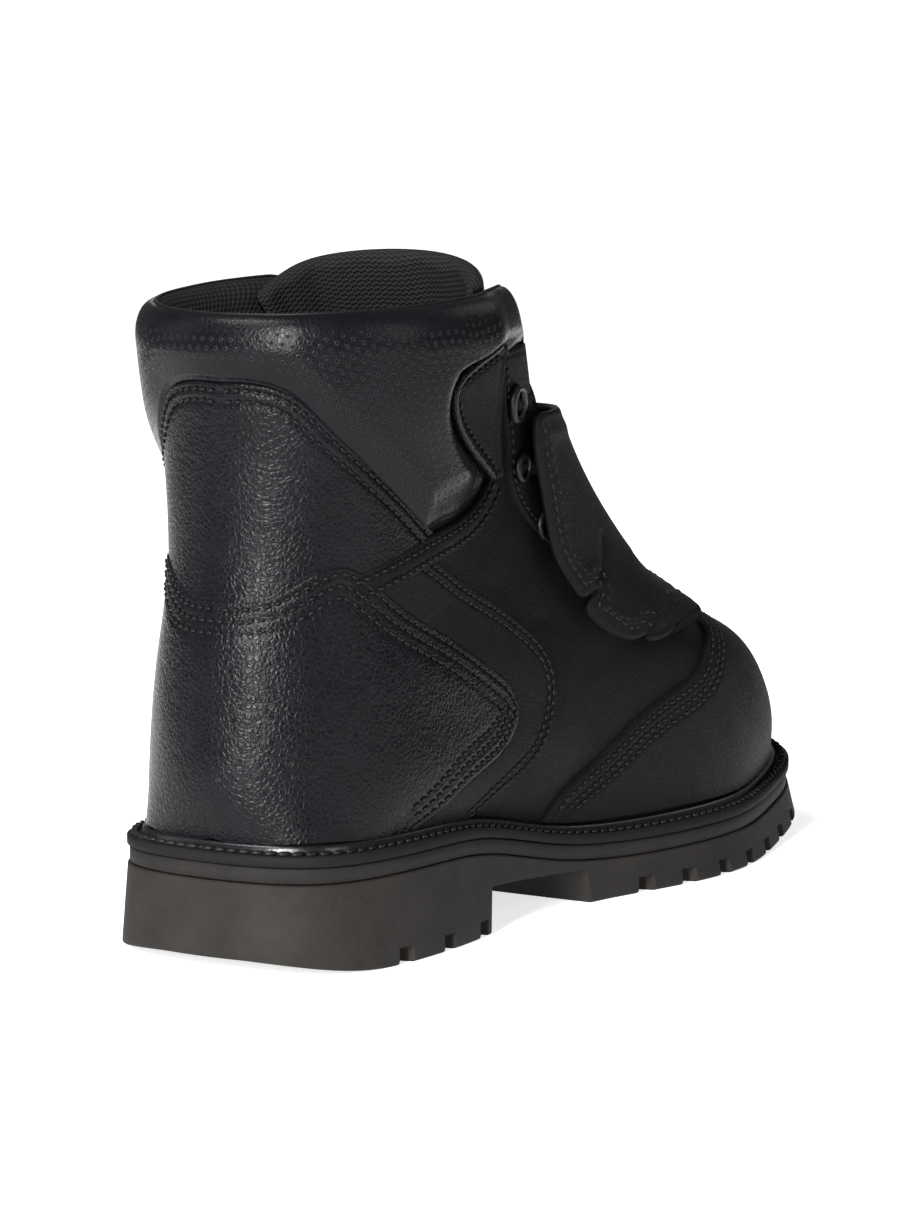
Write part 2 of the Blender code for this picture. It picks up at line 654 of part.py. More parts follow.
def make_overlays(finishes, parts):
    """Toe cap, counter, saddles, eyestays and facings, just off the upper's face."""
    low, high = REST, REST + OVERLAY
    wide = (("toe_cap", CAP, FRONT, "nubuck"), ("counter", COUNTER, 0, "leather"))
    for name, table, middle, finish in wide:
        rows = sorted((abs(around - middle), under, over) for around, under, over in table)
        reach, under, over = np.array(rows).T
        places = [place for place in UPPER_PLACES if abs(place - middle) < reach[-1] - 0.03]
        ends = [middle + side * end for end in (reach[-1], reach[-2]) for side in (-1, 1)]
        places = np.array(sorted({*places, *ends}))
        away = np.abs(places - middle)
        bottom = np.maximum(np.interp(away, reach, under), seat(places))
        top = np.maximum(spline(reach, over)(away)[:, 0], bottom + 0.05)
        level = np.clip(np.array(UPPER_ROWS)[None, :], bottom[:, None], top[:, None])
        around = across(places, places, len(UPPER_ROWS))
        panel(name, around, level, low, high, finishes[finish], parts)
    saddle = ruled(SADDLE, 2)
    eyestay = ruled(EYESTAY, 2)
    facing = ruled(FACING, 2)
    edge_place = throat_edge(eyestay[:, 0]) - 0.02
    sheets = {
        "saddle": (across(saddle[:, 2], saddle[:, 0], 4), across(saddle[:, 3], saddle[:, 1], 4), "nubuck"),
        "eyestay": (across(edge_place - eyestay[:, 1], edge_place, 4),
                    across(eyestay[:, 0], eyestay[:, 0], 4), "nubuck"),
        "facing": (across(facing[:, 0], facing[:, 1], 4), across(facing[:, 2], facing[:, 2], 4), "nubuck"),
    }
    for name, (around, level, finish) in sheets.items():
        panel(name + "_outer", around, level, low, high, finishes[finish], parts)
        panel(name + "_inner", flip(around), level, low, high, finishes[finish], parts)


def make_collar(finishes, parts):
    """Padded cuff that wraps over the upper's rim, leather outside and lining inside."""
    edge_rows = np.array([(-a, k) for a, k in COLLAR_EDGE[:0:-1]] + list(COLLAR_EDGE))
    share = np.linspace(-1, 1, 2 * UPPER_COLUMNS + 1)
    place = share * throat_edge(float(RIM))
    low = np.interp(place, edge_rows[:, 0], edge_rows[:, 1])
    wall = WALL + REST
    top = REST + OVERLAY + COLLAR_PAD * RIM_PAD
    inner = wall + COLLAR_LINING
    middle, half = (top - inner) / 2, (top + inner) / 2
    end = smooth((1 - np.abs(share)) / COLLAR_END)
    roll = COLLAR_ROLL / LEVEL_SIZE
    step = COLLAR_INSIDE + LINING_STEP
    foot = COLLAR_INSIDE + LINING_FOOT
    lining = [(RIM, -inner), (step, -inner), (foot, -inner + LINING_TAPER),
              (COLLAR_INSIDE, -wall - LINING_TAPER), (step, -wall),
              (RIM + RIM_GAP, -wall), (RIM + RIM_GAP, REST)]
    sections = []
    for s, start, fade in zip(share, low, end):
        points = []
        for f in CUFF_ROWS:
            level = between(start, RIM, f)
            fall = (1 - RIM_PAD) * smooth((f - ROLL_FALL) / (1 - ROLL_FALL))
            rise = smooth((level - start) / PAD_RUN) - fall
            points.append((level, REST + OVERLAY + COLLAR_PAD * max(rise, 0.0) * between(END_LIFT, 1, fade)))
        for turn in np.radians(ROLL_TURNS):
            squeeze = between(END_ROLL, 1, fade)
            points.append((RIM + roll * math.sin(turn) * squeeze, (middle + half * math.cos(turn)) * squeeze))
        points += lining
        points += [(between(start, RIM, f), REST) for f in CUFF_ROWS[-2::-1]]
        levels, lifts = np.array(points).T
        sections.append(skin(s * throat_edge(levels), levels, lifts))
    sweep("collar", np.array(sections), finishes["leather"], parts)


def make_tongue(finishes, parts):
    """Padded tongue inside the throat, wide at the top where it lines the collar."""
    levels = np.array(TONGUE_ROWS)
    widths = np.interp(levels, [row[0] for row in TONGUE_WIDTH], [row[1] for row in TONGUE_WIDTH])
    share = np.linspace(-1, 1, 2 * TONGUE_COLUMNS + 1)
    around = FRONT + share[None, :] * widths[:, None]
    crown = (levels[:, None] - TONGUE_FOOT) / (levels[-1] - TONGUE_FOOT)
    level = levels[:, None] - TONGUE_CORNER * crown ** 4 * np.abs(share[None, :]) ** 3
    before, rise, grow = TONGUE_RUN
    padding = COLLAR_LINING + LINING_EXTRA
    depth = WALL + REST + padding * smooth((level - COLLAR_INSIDE + before) / rise)
    thick = TONGUE_THICK * between(0.5, 1.0, smooth((level - TONGUE_FOOT) / grow))
    panel("tongue", around, level, -depth - thick, -depth, finishes["lining"], parts)


def make_guard(finishes, parts):
    """Stiff scalloped flap over the instep, free at its lower end."""
    rows = spline(np.arange(len(GUARD)), GUARD)(np.linspace(0, len(GUARD) - 1, GUARD_ROWS))
    share = np.linspace(0, 1, GUARD_COLUMNS_HALF + 1)
    reach = np.linspace(0, 1, GUARD_ROWS)
    around = across(rows[:, 0], np.full(GUARD_ROWS, float(FRONT)), GUARD_COLUMNS_HALF + 1)
    level = across(rows[:, 1], rows[:, 2], GUARD_COLUMNS_HALF + 1)
    lobe = GUARD_LOBE * np.sin(np.pi * GUARD_LOBES * share) ** 2
    level = level - lobe[None, :] * smooth((reach - LOBE_START) / (1 - LOBE_START))[:, None]
    kick = GUARD_KICK * smooth((reach - KICK_START) / (1 - KICK_START))
    lift = np.broadcast_to(GUARD_LIFT + kick[:, None], around.shape)
    around = np.concatenate((around, flip(around[:, -2::-1])), axis=1)
    level = np.concatenate((level, level[:, -2::-1]), axis=1)
    lift = np.concatenate((lift, lift[:, -2::-1]), axis=1)
    panel("met_guard", around, level, lift, lift + GUARD_THICK, finishes["nubuck"], parts)


def wire_ring(name, around, level, lift, half_width, half_height, corners, wire, finish, collection):
    """Ring of wire flat on the upper, round or with few corners."""
    centre = skin(around, level, lift)
    normal = skin(around, level, lift + 0.001) - centre
    normal /= np.linalg.norm(normal)
    up = last(around, level + 0.05) - last(around, level - 0.05)
    up -= normal * np.dot(up, normal)
    up /= np.linalg.norm(up)
    side = np.cross(up, normal)
    sections = []
    for i in range(corners):
        turn = 2 * math.pi * i / corners + math.pi / 2
        out = side * math.cos(turn) + up * math.sin(turn)
        point = centre + side * half_width * math.cos(turn) + up * half_height * math.sin(turn)
        section = []
        for roll in np.linspace(0, 2 * np.pi, WIRE_CORNERS + 1)[:-1]:
            section.append(point + wire * (out * math.cos(roll) + normal * math.sin(roll)))
        sections.append(section)
    sweep(name, np.array(sections), finish, collection, closed=True)


def make_hardware(finishes, parts):
    """Two pairs of eyelets and one pair of speed hooks, on the eyestays."""
    lift = REST + OVERLAY + CLEARANCE
    for side, turn in (("outer", lambda a: a), ("inner", flip)):
        for name, around, level in EYELETS:
            wire_ring(f"eyelet_{name}_{side}", turn(around), level, lift + EYELET_WIRE, EYELET_RADIUS,
                      EYELET_RADIUS, EYELET_CORNERS, EYELET_WIRE, finishes["metal"], parts)
        around, level = HOOK_PLACE
        wire_ring(f"hook_{side}", turn(around), level, lift + HOOK_WIRE, HOOK_WIDTH / 2,
                  HOOK_HEIGHT / 2, HOOK_CORNERS, HOOK_WIRE, finishes["metal"], parts)


def make_lace(finishes, parts, cutters):
    """The lace's crossings over the throat, joined in one piece."""
    lift = REST + OVERLAY + LACE_REST + LACE_RADIUS
    near, far = LACE_SIDE, flip(LACE_SIDE)
    low, high, top = EYELETS[0][2], EYELETS[1][2], HOOK_PLACE[1]
    runs = [(near, low, far, low), (near, low, far, high), (far, low, near, high),
            (near, high, far, top), (far, high, near, top), (near, top + LACE_TOP, far, top + LACE_TOP)]
    bars = []
    for number, (a0, k0, a1, k1) in enumerate(runs):
        share = np.linspace(0, 1, LACE_POINTS)
        path = skin(between(a0, a1, share), between(k0, k1, share), lift)
        out = skin(between(a0, a1, share), between(k0, k1, share), lift + 0.001) - path
        out /= np.linalg.norm(out, axis=1, keepdims=True)
        run = np.gradient(path, axis=0)
        run /= np.linalg.norm(run, axis=1, keepdims=True)
        side = np.cross(run, out)
        turns = np.linspace(0, 2 * np.pi, LACE_CORNERS + 1)[:-1, None] + LACE_TWIST * number
        round_out = np.cos(turns) * out[:, None] + np.sin(turns) * side[:, None]
        sections = path[:, None] + LACE_RADIUS * round_out
        home = parts if number == 0 else cutters
        bars.append(sweep("lace" if number == 0 else f"lace_bar_{number}", sections, finishes["lace"], home))
    for bar in bars[1:]:
        join = bars[0].modifiers.new("join", "BOOLEAN")
        join.operation = "UNION"
        join.solver = "EXACT"
        join.object = bar
        bar.hide_render = True
        bar.display_type = "WIRE"


def centre_on_floor(parts, cutters):
    """Move everything so that the origin lies under the middle of the boot's box."""
    graph = bpy.context.evaluated_depsgraph_get()
    corners = []
    for shape in parts.objects:
        mesh = shape.evaluated_get(graph).to_mesh()
        corners += [(v.co.x, v.co.y) for v in mesh.vertices]
    corners = np.array(corners)
    middle = (corners.min(axis=0) + corners.max(axis=0)) / 2
    move = Matrix.Translation((-float(middle[0]), -float(middle[1]), 0.0))
    for shape in (*parts.objects, *cutters.objects):
        shape.data.transform(move)


def build():
    remove_scene_objects()
    parts = bpy.data.collections.new("metatarsal_guard_boot")
    cutters = bpy.data.collections.new("cutters")
    for collection in (parts, cutters):
        bpy.context.scene.collection.children.link(collection)
    finishes = {
        "leather": material("smooth leather", (0.012, 0.012, 0.014), 0.42),
        "nubuck": material("matte leather", (0.014, 0.013, 0.013), 0.72),
        "lining": material("knit lining", (0.010, 0.010, 0.011), 0.90),
        "sole": material("outsole rubber", (0.045, 0.042, 0.040), 0.70),
        "midsole": material("midsole rubber", (0.026, 0.026, 0.028), 0.60),
        "welt": material("welt leather", (0.015, 0.015, 0.017), 0.35),
        "metal": material("black metal", (0.020, 0.020, 0.022), 0.35, 0.9),
        "lace": material("lace", (0.010, 0.010, 0.010), 0.90),
    }
    make_sole(finishes, parts, cutters)
    make_upper(finishes, parts)
    make_overlays(finishes, parts)
    make_collar(finishes, parts)
    make_tongue(finishes, parts)
    make_guard(finishes, parts)
    make_hardware(finishes, parts)
    make_lace(finishes, parts, cutters)
    centre_on_floor(parts, cutters)


build()
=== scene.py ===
import math
import bpy
import numpy as np
from mathutils import Matrix, Vector


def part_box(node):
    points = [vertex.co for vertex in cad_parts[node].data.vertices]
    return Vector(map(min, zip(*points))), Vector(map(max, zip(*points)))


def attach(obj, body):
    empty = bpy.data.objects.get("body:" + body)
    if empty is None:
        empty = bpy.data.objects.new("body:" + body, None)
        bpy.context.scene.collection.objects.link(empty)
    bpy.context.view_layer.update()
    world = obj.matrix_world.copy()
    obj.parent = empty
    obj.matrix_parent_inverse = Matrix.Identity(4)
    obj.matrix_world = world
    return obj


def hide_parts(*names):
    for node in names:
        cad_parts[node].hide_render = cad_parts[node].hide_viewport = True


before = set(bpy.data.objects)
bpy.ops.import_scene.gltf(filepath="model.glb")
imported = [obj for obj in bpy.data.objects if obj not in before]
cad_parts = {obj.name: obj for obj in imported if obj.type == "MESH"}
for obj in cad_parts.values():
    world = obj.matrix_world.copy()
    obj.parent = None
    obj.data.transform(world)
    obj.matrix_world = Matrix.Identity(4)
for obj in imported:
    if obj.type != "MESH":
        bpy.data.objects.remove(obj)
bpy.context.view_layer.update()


# Last: the boot's outer form, the CAD's with a slightly slimmer heel, toe and instep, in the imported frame.
# A chart place is around (0 back, 5 front, outer side first), level (0 welt, 10 rim) and lift.
LENGTH, BOOT_HEIGHT, SWING = 0.312, 0.190, 0.008
WIDTHS = {"heel": 0.087, "waist": 0.082, "ball": 0.110, "toe": 0.076}
HEEL_HEIGHT, BALL_HEIGHT, TOE_SPRING, SPRING_START = 0.0345, 0.0200, 0.0085, 0.69
WELT_WIDTH, FEATHER_GAP = 0.0070, 0.0005
CHART_STEP, GROOVE_DEEP, GROOVE_WIDE = 0.01, 0.00045, 0.0008
OUTLINE = (
    (0.000, 0.00, 0.00, "heel", 0.00), (0.030, 0.38, 0.38, "heel", 0.00),
    (0.120, 0.50, 0.50, "heel", 0.00), (0.270, 0.50, 0.49, "heel", 0.00),
    (0.425, 0.54, 0.45, "waist", 0.00), (0.600, 0.50, 0.43, "ball", 0.00),
    (0.700, 0.520, 0.475, "ball", 0.10), (0.825, 0.675, 0.675, "toe", 0.40),
    (0.945, 0.505, 0.490, "toe", 0.80), (1.000, 0.00, 0.00, "toe", 1.00))
SOLE_TOP = ((0.00, 1.00), (0.15, 1.00), (0.27, 0.86), (0.42, 0.22), (0.61, 0.00), (1.00, 0.00))
STATIONS = (0.00, 0.14, 0.45, 0.70, 0.89)
LEVELS = (
    (0.010, 0.270, 0.972, 0.200, 0.95, 0.475, 0.475, 0.455, 0.550),
    (0.013, 0.360, 0.953, 0.285, 0.90, 0.466, 0.474, 0.450, 0.522),
    (0.018, 0.440, 0.906, 0.350, 0.80, 0.448, 0.455, 0.420, 0.478),
    (0.024, 0.510, 0.834, 0.395, 0.60, 0.422, 0.435, 0.375, 0.398),
    (0.031, 0.575, 0.734, 0.452, 0.40, 0.402, 0.430, 0.335, 0.318),
    (0.035, 0.645, 0.646, 0.542, 0.20, 0.393, 0.433, 0.318, 0.312),
    (0.036, 0.715, 0.567, 0.652, 0.10, 0.386, 0.443, 0.322, 0.322),
    (0.035, 0.795, 0.501, 0.769, 0.00, 0.388, 0.472, 0.335, 0.342),
    (0.030, 0.880, 0.454, 0.880, 0.00, 0.398, 0.532, 0.370, 0.373),
    (0.026, 0.960, 0.422, 0.985, 0.00, 0.405, 0.565, 0.395, 0.395))


def spline(knots, values, closed=False):
    """Smooth curve through rows of values, straight beyond its ends."""
    knots = np.asarray(knots, float)
    rows = np.asarray(values, float).reshape(len(knots), -1)
    step = np.diff(knots)
    slope = np.diff(rows, axis=0) / step[:, None]
    system = np.eye(len(knots))
    target = np.zeros_like(rows)
    for i in range(1, len(knots) - 1):
        system[i, i - 1:i + 2] = step[i - 1], 2 * (step[i - 1] + step[i]), step[i]
        target[i] = 6 * (slope[i] - slope[i - 1])
    if closed:
        system[0, -1] = -1
        system[-1, :] = 0
        system[-1, [0, 1, -2, -1]] = 2 * step[0], step[0], step[-1], 2 * step[-1]
        target[-1] = 6 * (slope[0] - slope[-1])
    bend = np.linalg.solve(system, target)

    def at(place):
        place = np.asarray(place, float)
        if closed:
            place = knots[0] + np.mod(place - knots[0], knots[-1] - knots[0])
        inside = np.clip(place, knots[0], knots[-1])
        i = np.clip(np.searchsorted(knots, inside, side="right") - 1, 0, len(step) - 1)
        h = step[i][..., None]
        a = ((knots[i + 1] - inside)[..., None]) / h
        b = 1 - a
        value = (a * rows[i] + b * rows[i + 1]
                 + ((a ** 3 - a) * bend[i] + (b ** 3 - b) * bend[i + 1]) * h ** 2 / 6)
        run = slope[i] + ((1 - 3 * a ** 2) * bend[i] + (3 * b ** 2 - 1) * bend[i + 1]) * h / 6
        return value + run * (place - inside)[..., None]

    return at


def smooth(share):
    share = np.clip(share, 0, 1)
    return share * share * (3 - 2 * share)


def unit(rows):
    return rows / np.linalg.norm(rows, axis=-1, keepdims=True)


def run_lengths(points, extra=0.0):
    """Distance of each point from the first along their run, with an extra for every step."""
    return np.concatenate(([0], np.cumsum(np.linalg.norm(np.diff(points, axis=0), axis=1) + extra)))


def interpolated(at, knots, rows):
    """Rows at places between knots, straight between them."""
    return np.stack([np.interp(at, knots, column) for column in rows.T], axis=1)


lateral = np.array([(-SWING * swing + out * WIDTHS[width], along * LENGTH) for along, out, _, width, swing in OUTLINE])
medial = np.array([(-SWING * swing - back_in * WIDTHS[width], along * LENGTH)
                   for along, _, back_in, width, swing in OUTLINE])
chords = np.linalg.norm(np.diff(lateral, axis=0), axis=1) + np.linalg.norm(np.diff(medial, axis=0), axis=1)
edge_place = np.concatenate(([0], np.cumsum(chords)))
edge_place /= edge_place[-1]
sole_curve = spline(np.concatenate((edge_place, 2 - edge_place[-2::-1])), np.concatenate((lateral, medial[-2::-1])),
                    closed=True)
top_curve = spline(*zip(*SOLE_TOP))
turns = np.linspace(0, 2, 4001)
SHIFT = np.array((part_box("welt")[1].x - sole_curve(turns)[:, 0].max(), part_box("welt")[0].y, 0.0))


def edge(place, inset=0.0):
    """Point of the sole's edge: place 0 is the heel's back, 1 the toe's tip, 2 the back again."""
    run = unit(sole_curve(place + 1e-4) - sole_curve(place - 1e-4))
    outward = np.stack((run[..., 1], -run[..., 0]), axis=-1)
    return sole_curve(place) - outward * np.asarray(inset)[..., None]


def spring(y):
    start = SPRING_START * LENGTH
    return TOE_SPRING * np.clip((y - start) / (LENGTH - start), 0, 1.1) ** 2


def sole_top(y):
    rise = top_curve(np.clip(y / LENGTH, 0, 1))[..., 0]
    return BALL_HEIGHT + (HEEL_HEIGHT - BALL_HEIGHT) * rise + spring(y)


level_curves = []
for back_y, back_z, front_y, front_z, swing, *shares in LEVELS:
    points = [(share * width, (back_y + (front_y - back_y) * along) * LENGTH, (back_z + (front_z - back_z) * along)
               * BOOT_HEIGHT) for share, width, along in zip((0, *shares), (0, *WIDTHS.values()), STATIONS)]
    points = np.array([*points, (0, front_y * LENGTH, front_z * BOOT_HEIGHT),
                       *[(-x, y, z) for x, y, z in points[:0:-1]], points[0]])
    points[:, 0] += swing * np.interp(points[:, 1], lateral[:, 1], (lateral[:, 0] + medial[:, 0]) / 2)
    level_curves.append(spline(np.arange(11), points, closed=True))
station_y = WELT_WIDTH / LENGTH + (1 - 2 * WELT_WIDTH / LENGTH) * np.array((*STATIONS, 1.0))
foot_place = np.interp(station_y, lateral[:, 1] / LENGTH, edge_place)
foot_place[[0, -1]] = 0, 1
feather_place = spline(np.arange(11), np.concatenate((foot_place, 2 - foot_place[-2::-1])))
level_weights = spline(np.arange(11), np.eye(11))


def last(around, level):
    """Point of the upper's outer face."""
    around = np.mod(np.asarray(around, float), 10)
    level = np.broadcast_to(np.asarray(level, float), around.shape)
    foot = edge(feather_place(around)[..., 0], WELT_WIDTH)
    rows = [np.concatenate((foot, (sole_top(foot[..., 1]) + FEATHER_GAP)[..., None]), axis=-1)]
    rows += [curve(around) for curve in level_curves]
    weights = level_weights(level)
    return sum(weights[..., j:j + 1] * row for j, row in enumerate(rows)) + SHIFT


def tangents(around, level):
    """Steps over the upper's face, round it and up it."""
    return (last(around + CHART_STEP, level) - last(around - CHART_STEP, level),
            last(around, level + CHART_STEP) - last(around, level - CHART_STEP))


def normal_at(around, level):
    return unit(np.cross(*tangents(around, level)))


def skin(around, level, lift=0.0):
    """Point at a lift from the upper's outer face, along its normal."""
    around, level, lift = np.broadcast_arrays(*(np.asarray(v, float) for v in (around, level, lift)))
    return last(around, level) + normal_at(around, level) * lift[..., None]


def throat_edge(level):
    return np.interp(level, (0.0, 5.6, 7.4, 8.6, 10.0, 11.0), (3.60, 3.60, 3.48, 3.55, 3.75, 3.85))


def offset(path, distance, toward, trim=True):
    """Chart path moved sideways by a distance in metres towards a chart place, without the loops at its corners."""
    start = path
    steps = max(1, int(distance / 0.002))
    for step in range(steps):
        a, k = path.T
        side = unit(np.cross(normal_at(a, k), np.gradient(last(a, k), axis=0)))
        if step == 0:
            aim = last(np.array(toward[0]), np.array(toward[1])) - last(a, k)
            turn = np.sign(np.sum(side * aim))
        side *= turn * distance / steps
        base = np.stack(tangents(a, k), axis=2) / (2 * CHART_STEP)
        path = path + np.array([np.linalg.lstsq(b, s, rcond=None)[0] for b, s in zip(base, side)])
    away = np.linalg.norm(last(*path.T)[:, None] - last(*start.T), axis=2).min(axis=1)
    return path[away > 0.94 * distance] if trim else path


def dense(path, samples=12):
    """Smooth chart path through its points, evenly spaced along its run."""
    path = np.array(path, float)
    knots = run_lengths(last(*path.T), 1e-6)
    return spline(knots, path)(np.linspace(0, knots[-1], samples * len(path)))


def resampled(path, count):
    """The path at a count of even places."""
    return interpolated(np.linspace(0, len(path) - 1, count), np.arange(len(path)), path)


def mirrored(path):
    """The same path on the inner side."""
    return np.array(path, float)[::-1] * (-1, 1) + (10, 0)


def linked(name, data):
    """New object in the scene."""
    new = bpy.data.objects.new(name, data)
    bpy.context.scene.collection.objects.link(new)
    return new


def mesh_object(name, points, faces, material, uv=None, values=None):
    mesh = bpy.data.meshes.new(name)
    mesh.from_pydata([tuple(p) for p in np.asarray(points, float)], [], [tuple(int(i) for i in f) for f in faces])
    mesh.validate()
    corners = np.zeros(len(mesh.loops), int)
    mesh.loops.foreach_get("vertex_index", corners)
    if uv is not None:
        layer = mesh.uv_layers.new(name="UVMap")
        layer.data.foreach_set("uv", np.asarray(uv, float)[corners].ravel())
    for key, value in (values or {}).items():
        mesh.attributes.new(key, "FLOAT", "POINT").data.foreach_set("value", np.asarray(value, np.float32).ravel())
    mesh.polygons.foreach_set("use_smooth", np.ones(len(mesh.polygons), bool))
    mesh.materials.append(material)
    return linked(name, mesh)


def grid(rows, columns, close_rows=False, close_columns=False):
    """Quads over a grid of points, closed up with its first row or column where asked."""
    index = np.arange(rows * columns).reshape(rows, columns)
    index = np.pad(index, ((0, int(close_rows)), (0, int(close_columns))), "wrap")
    return np.stack((index[:-1, :-1], index[:-1, 1:], index[1:, 1:], index[1:, :-1]), axis=-1).reshape(-1, 4)


def lengths(points):
    """Distances along a grid's rows and columns in metres, for its UV map."""
    u = np.cumsum(np.linalg.norm(np.diff(points, axis=1, prepend=points[:, :1]), axis=2), axis=1)
    v = np.cumsum(np.linalg.norm(np.diff(points, axis=0, prepend=points[:1]), axis=2), axis=0)
    return np.stack((u - u.mean(axis=1, keepdims=True), v - v.mean(axis=0, keepdims=True)), axis=-1)


def sheet(name, points, material, flip=False):
    """Mesh over a grid of points, with its UV map in metres."""
    faces = grid(*points.shape[:2])
    return mesh_object(name, points.reshape(-1, 3), faces[:, ::-1] if flip else faces, material,
                       lengths(points).reshape(-1, 2))


def distance_to(spots, points):
    """Distance from each point to the nearest spot, at most a metre."""
    away = np.full(points.shape[:-1], 1.0)
    for spot in spots:
        away = np.minimum(away, np.linalg.norm(points - spot, axis=-1))
    return away


def even_ends(count):
    """Shares from 0 to 1 that crowd towards both ends."""
    share = np.linspace(0, 1, count)
    return 0.4 * share + 0.6 * (0.5 - 0.5 * np.cos(np.pi * share))


def raised(name, chart, base, thick, roll, material, sides="news", grooves=()):
    """Panel over a grid of chart places, with rolled edges on its named sides (north is the last row).

    A groove is pressed at each distance in from those edges, for its stitches."""
    around, level = chart[..., 0], chart[..., 1]
    flat = last(around, level)
    rims = {"s": flat[0], "n": flat[-1], "w": flat[:, 0], "e": flat[:, -1]}
    away = distance_to(np.concatenate([rims[side] for side in sides]), flat)
    lift = base + thick * np.sqrt(1 - (1 - np.clip(away / roll, 0, 1)) ** 2)
    for inset in grooves:
        lift = lift - GROOVE_DEEP * np.exp(-((away - inset) / GROOVE_WIDE) ** 2)
    lift = np.where(away < 1e-6, base - 0.0006, lift)
    return sheet(name, skin(around, level, lift), material)


def show(piece, *nodes, slot=None, padded=None):
    """Hang a piece on the root and hide the CAD parts that it stands for. The slot is not used."""
    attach(piece, "root")
    if nodes:
        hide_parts(*nodes)
    return piece


# Leather finishes: one node set for every leather, from its colour, gloss, grain and nap.
# Grain is a pebbled bump, creases a finer one, and perforations are holes spaced as on the collar.
# Each perforation is painted near black as painted shade, and its lip lighter as a painted highlight.
class Tree:
    """Short way to add nodes to a node tree."""

    def __init__(self, tree):
        self.tree = tree

    def link(self, value, socket):
        if isinstance(value, bpy.types.NodeSocket):
            self.tree.links.new(value, socket)
        else:
            socket.default_value = value

    def add(self, kind, inputs=(), **settings):
        """New node with its settings and inputs. Gives its outputs."""
        node = self.tree.nodes.new(kind)
        for key, value in settings.items():
            setattr(node, key, value)
        for socket, value in inputs:
            self.link(value, node.inputs[socket])
        return node.outputs


class Nodes(Tree):
    """A material's nodes, with a method for each kind that the finishes use."""

    def __init__(self, name):
        self.material = bpy.data.materials.new(name)
        self.material.use_nodes = True
        super().__init__(self.material.node_tree)
        self.shader = self.tree.nodes["Principled BSDF"]

    def math(self, operation, *values):
        return self.add("ShaderNodeMath", enumerate(values), operation=operation)[0]

    def plus(self, *values):
        return self.math("ADD", *values)

    def minus(self, *values):
        return self.math("SUBTRACT", *values)

    def times(self, *values):
        return self.math("MULTIPLY", *values)

    def ramp(self, value, low, high):
        return self.add("ShaderNodeMapRange", enumerate((value, low, high)), interpolation_type="SMOOTHSTEP")[0]

    def place(self):
        return "Vector", self.add("ShaderNodeTexCoord")["Object"]

    def noise(self, scale, detail=3.0, roughness=0.5):
        return self.add("ShaderNodeTexNoise", (("Scale", scale), ("Detail", detail), ("Roughness", roughness),
                                               self.place()))["Fac"]

    def cells(self, scale):
        return self.add("ShaderNodeTexVoronoi", (("Scale", scale), self.place()),
                        feature="DISTANCE_TO_EDGE")["Distance"]

    def uv(self):
        u, v, _ = self.add("ShaderNodeSeparateXYZ", ((0, self.add("ShaderNodeUVMap", uv_map="UVMap")[0]),))
        return u, v

    def value(self, name):
        return self.add("ShaderNodeAttribute", attribute_name=name)["Fac"]

    def bump(self, height, distance, normal=None):
        inputs = [("Strength", 1.0), ("Distance", distance), ("Height", height)]
        return self.add("ShaderNodeBump", inputs + ([("Normal", normal)] if normal is not None else []))[0]

    def colour(self, value):
        return value if isinstance(value, bpy.types.NodeSocket) else (*value, 1.0)

    def mix(self, share, low, high):
        return self.add("ShaderNodeMix", ((0, share), (6, self.colour(low)), (7, self.colour(high))),
                        data_type="RGBA")[2]

    def finish(self, colour, roughness, normal=None, coat=0.0, metallic=0.0, specular=0.5):
        for label, value in (("Base Color", self.colour(colour)), ("Roughness", roughness), ("Normal", normal),
                             ("Coat Weight", coat), ("Coat Roughness", 0.25), ("Metallic", metallic),
                             ("Specular IOR Level", specular)):
            if value is not None:
                self.link(value, self.shader.inputs[label])
        return self.material


HOLE_PITCH, HOLE_ROW, HOLE_SQUASH = 0.0031, 0.0026, 0.84


def scaled(colour, share):
    return [share * part for part in colour]


def leather(name, colour, gloss, grain, nap=0.0, holes=False):
    """Leather whose grain is a height in metres. Nap breaks its gloss up; holes perforate it, with painted shade and
    highlight.
    """
    n = Nodes(name)
    pebble = n.ramp(n.cells(620.0), 0.0, 0.26)
    fold = n.ramp(n.noise(260.0, 5.0, 0.65), 0.40, 0.60)
    broad = n.noise(28.0, 2.0)
    normal = n.bump(n.plus(n.times(pebble, 0.55), n.times(fold, 0.45)), grain)
    rough = n.plus(gloss, n.times(n.minus(broad, 0.5), 0.16 + 0.2 * nap))
    rough = n.plus(rough, n.times(n.minus(0.6, pebble), 0.10))
    tone = n.mix(n.ramp(n.noise(60.0, 5.0, 0.65), 0.3, 0.75), scaled(colour, 0.78), scaled(colour, 1.2))
    if holes:
        u, v = n.uv()
        row = n.math("DIVIDE", v, HOLE_ROW)
        even = n.math("FLOOR", row)
        odd = n.math("MODULO", n.math("ABSOLUTE", even), 2.0)
        across = n.plus(n.math("DIVIDE", u, HOLE_PITCH), n.times(odd, 0.5))
        x = n.minus(n.minus(across, n.math("FLOOR", across)), 0.5)
        y = n.times(n.minus(n.minus(row, even), 0.5), HOLE_SQUASH)
        radius = n.math("SQRT", n.plus(n.times(x, x), n.times(y, y)))
        field = n.value("holes")
        hole_and_shade = n.times(n.ramp(radius, 0.145, 0.08), field)
        lip_and_highlight = n.times(n.times(n.ramp(radius, 0.25, 0.16), n.ramp(radius, 0.09, 0.14)), field)
        normal = n.bump(n.minus(n.times(lip_and_highlight, 0.15), hole_and_shade), 0.0004, normal)
        # The lip round each hole is painted lighter: a painted highlight.
        tone = n.mix(n.times(lip_and_highlight, 0.4), tone, (0.034, 0.034, 0.038))
        # Each hole is painted near black: painted shade in it.
        tone = n.mix(hole_and_shade, tone, (0.0012, 0.0012, 0.0013))
        rough = n.plus(rough, n.times(hole_and_shade, 0.4))
    return n.finish(tone, rough, normal, specular=0.115 - 0.04 * nap)


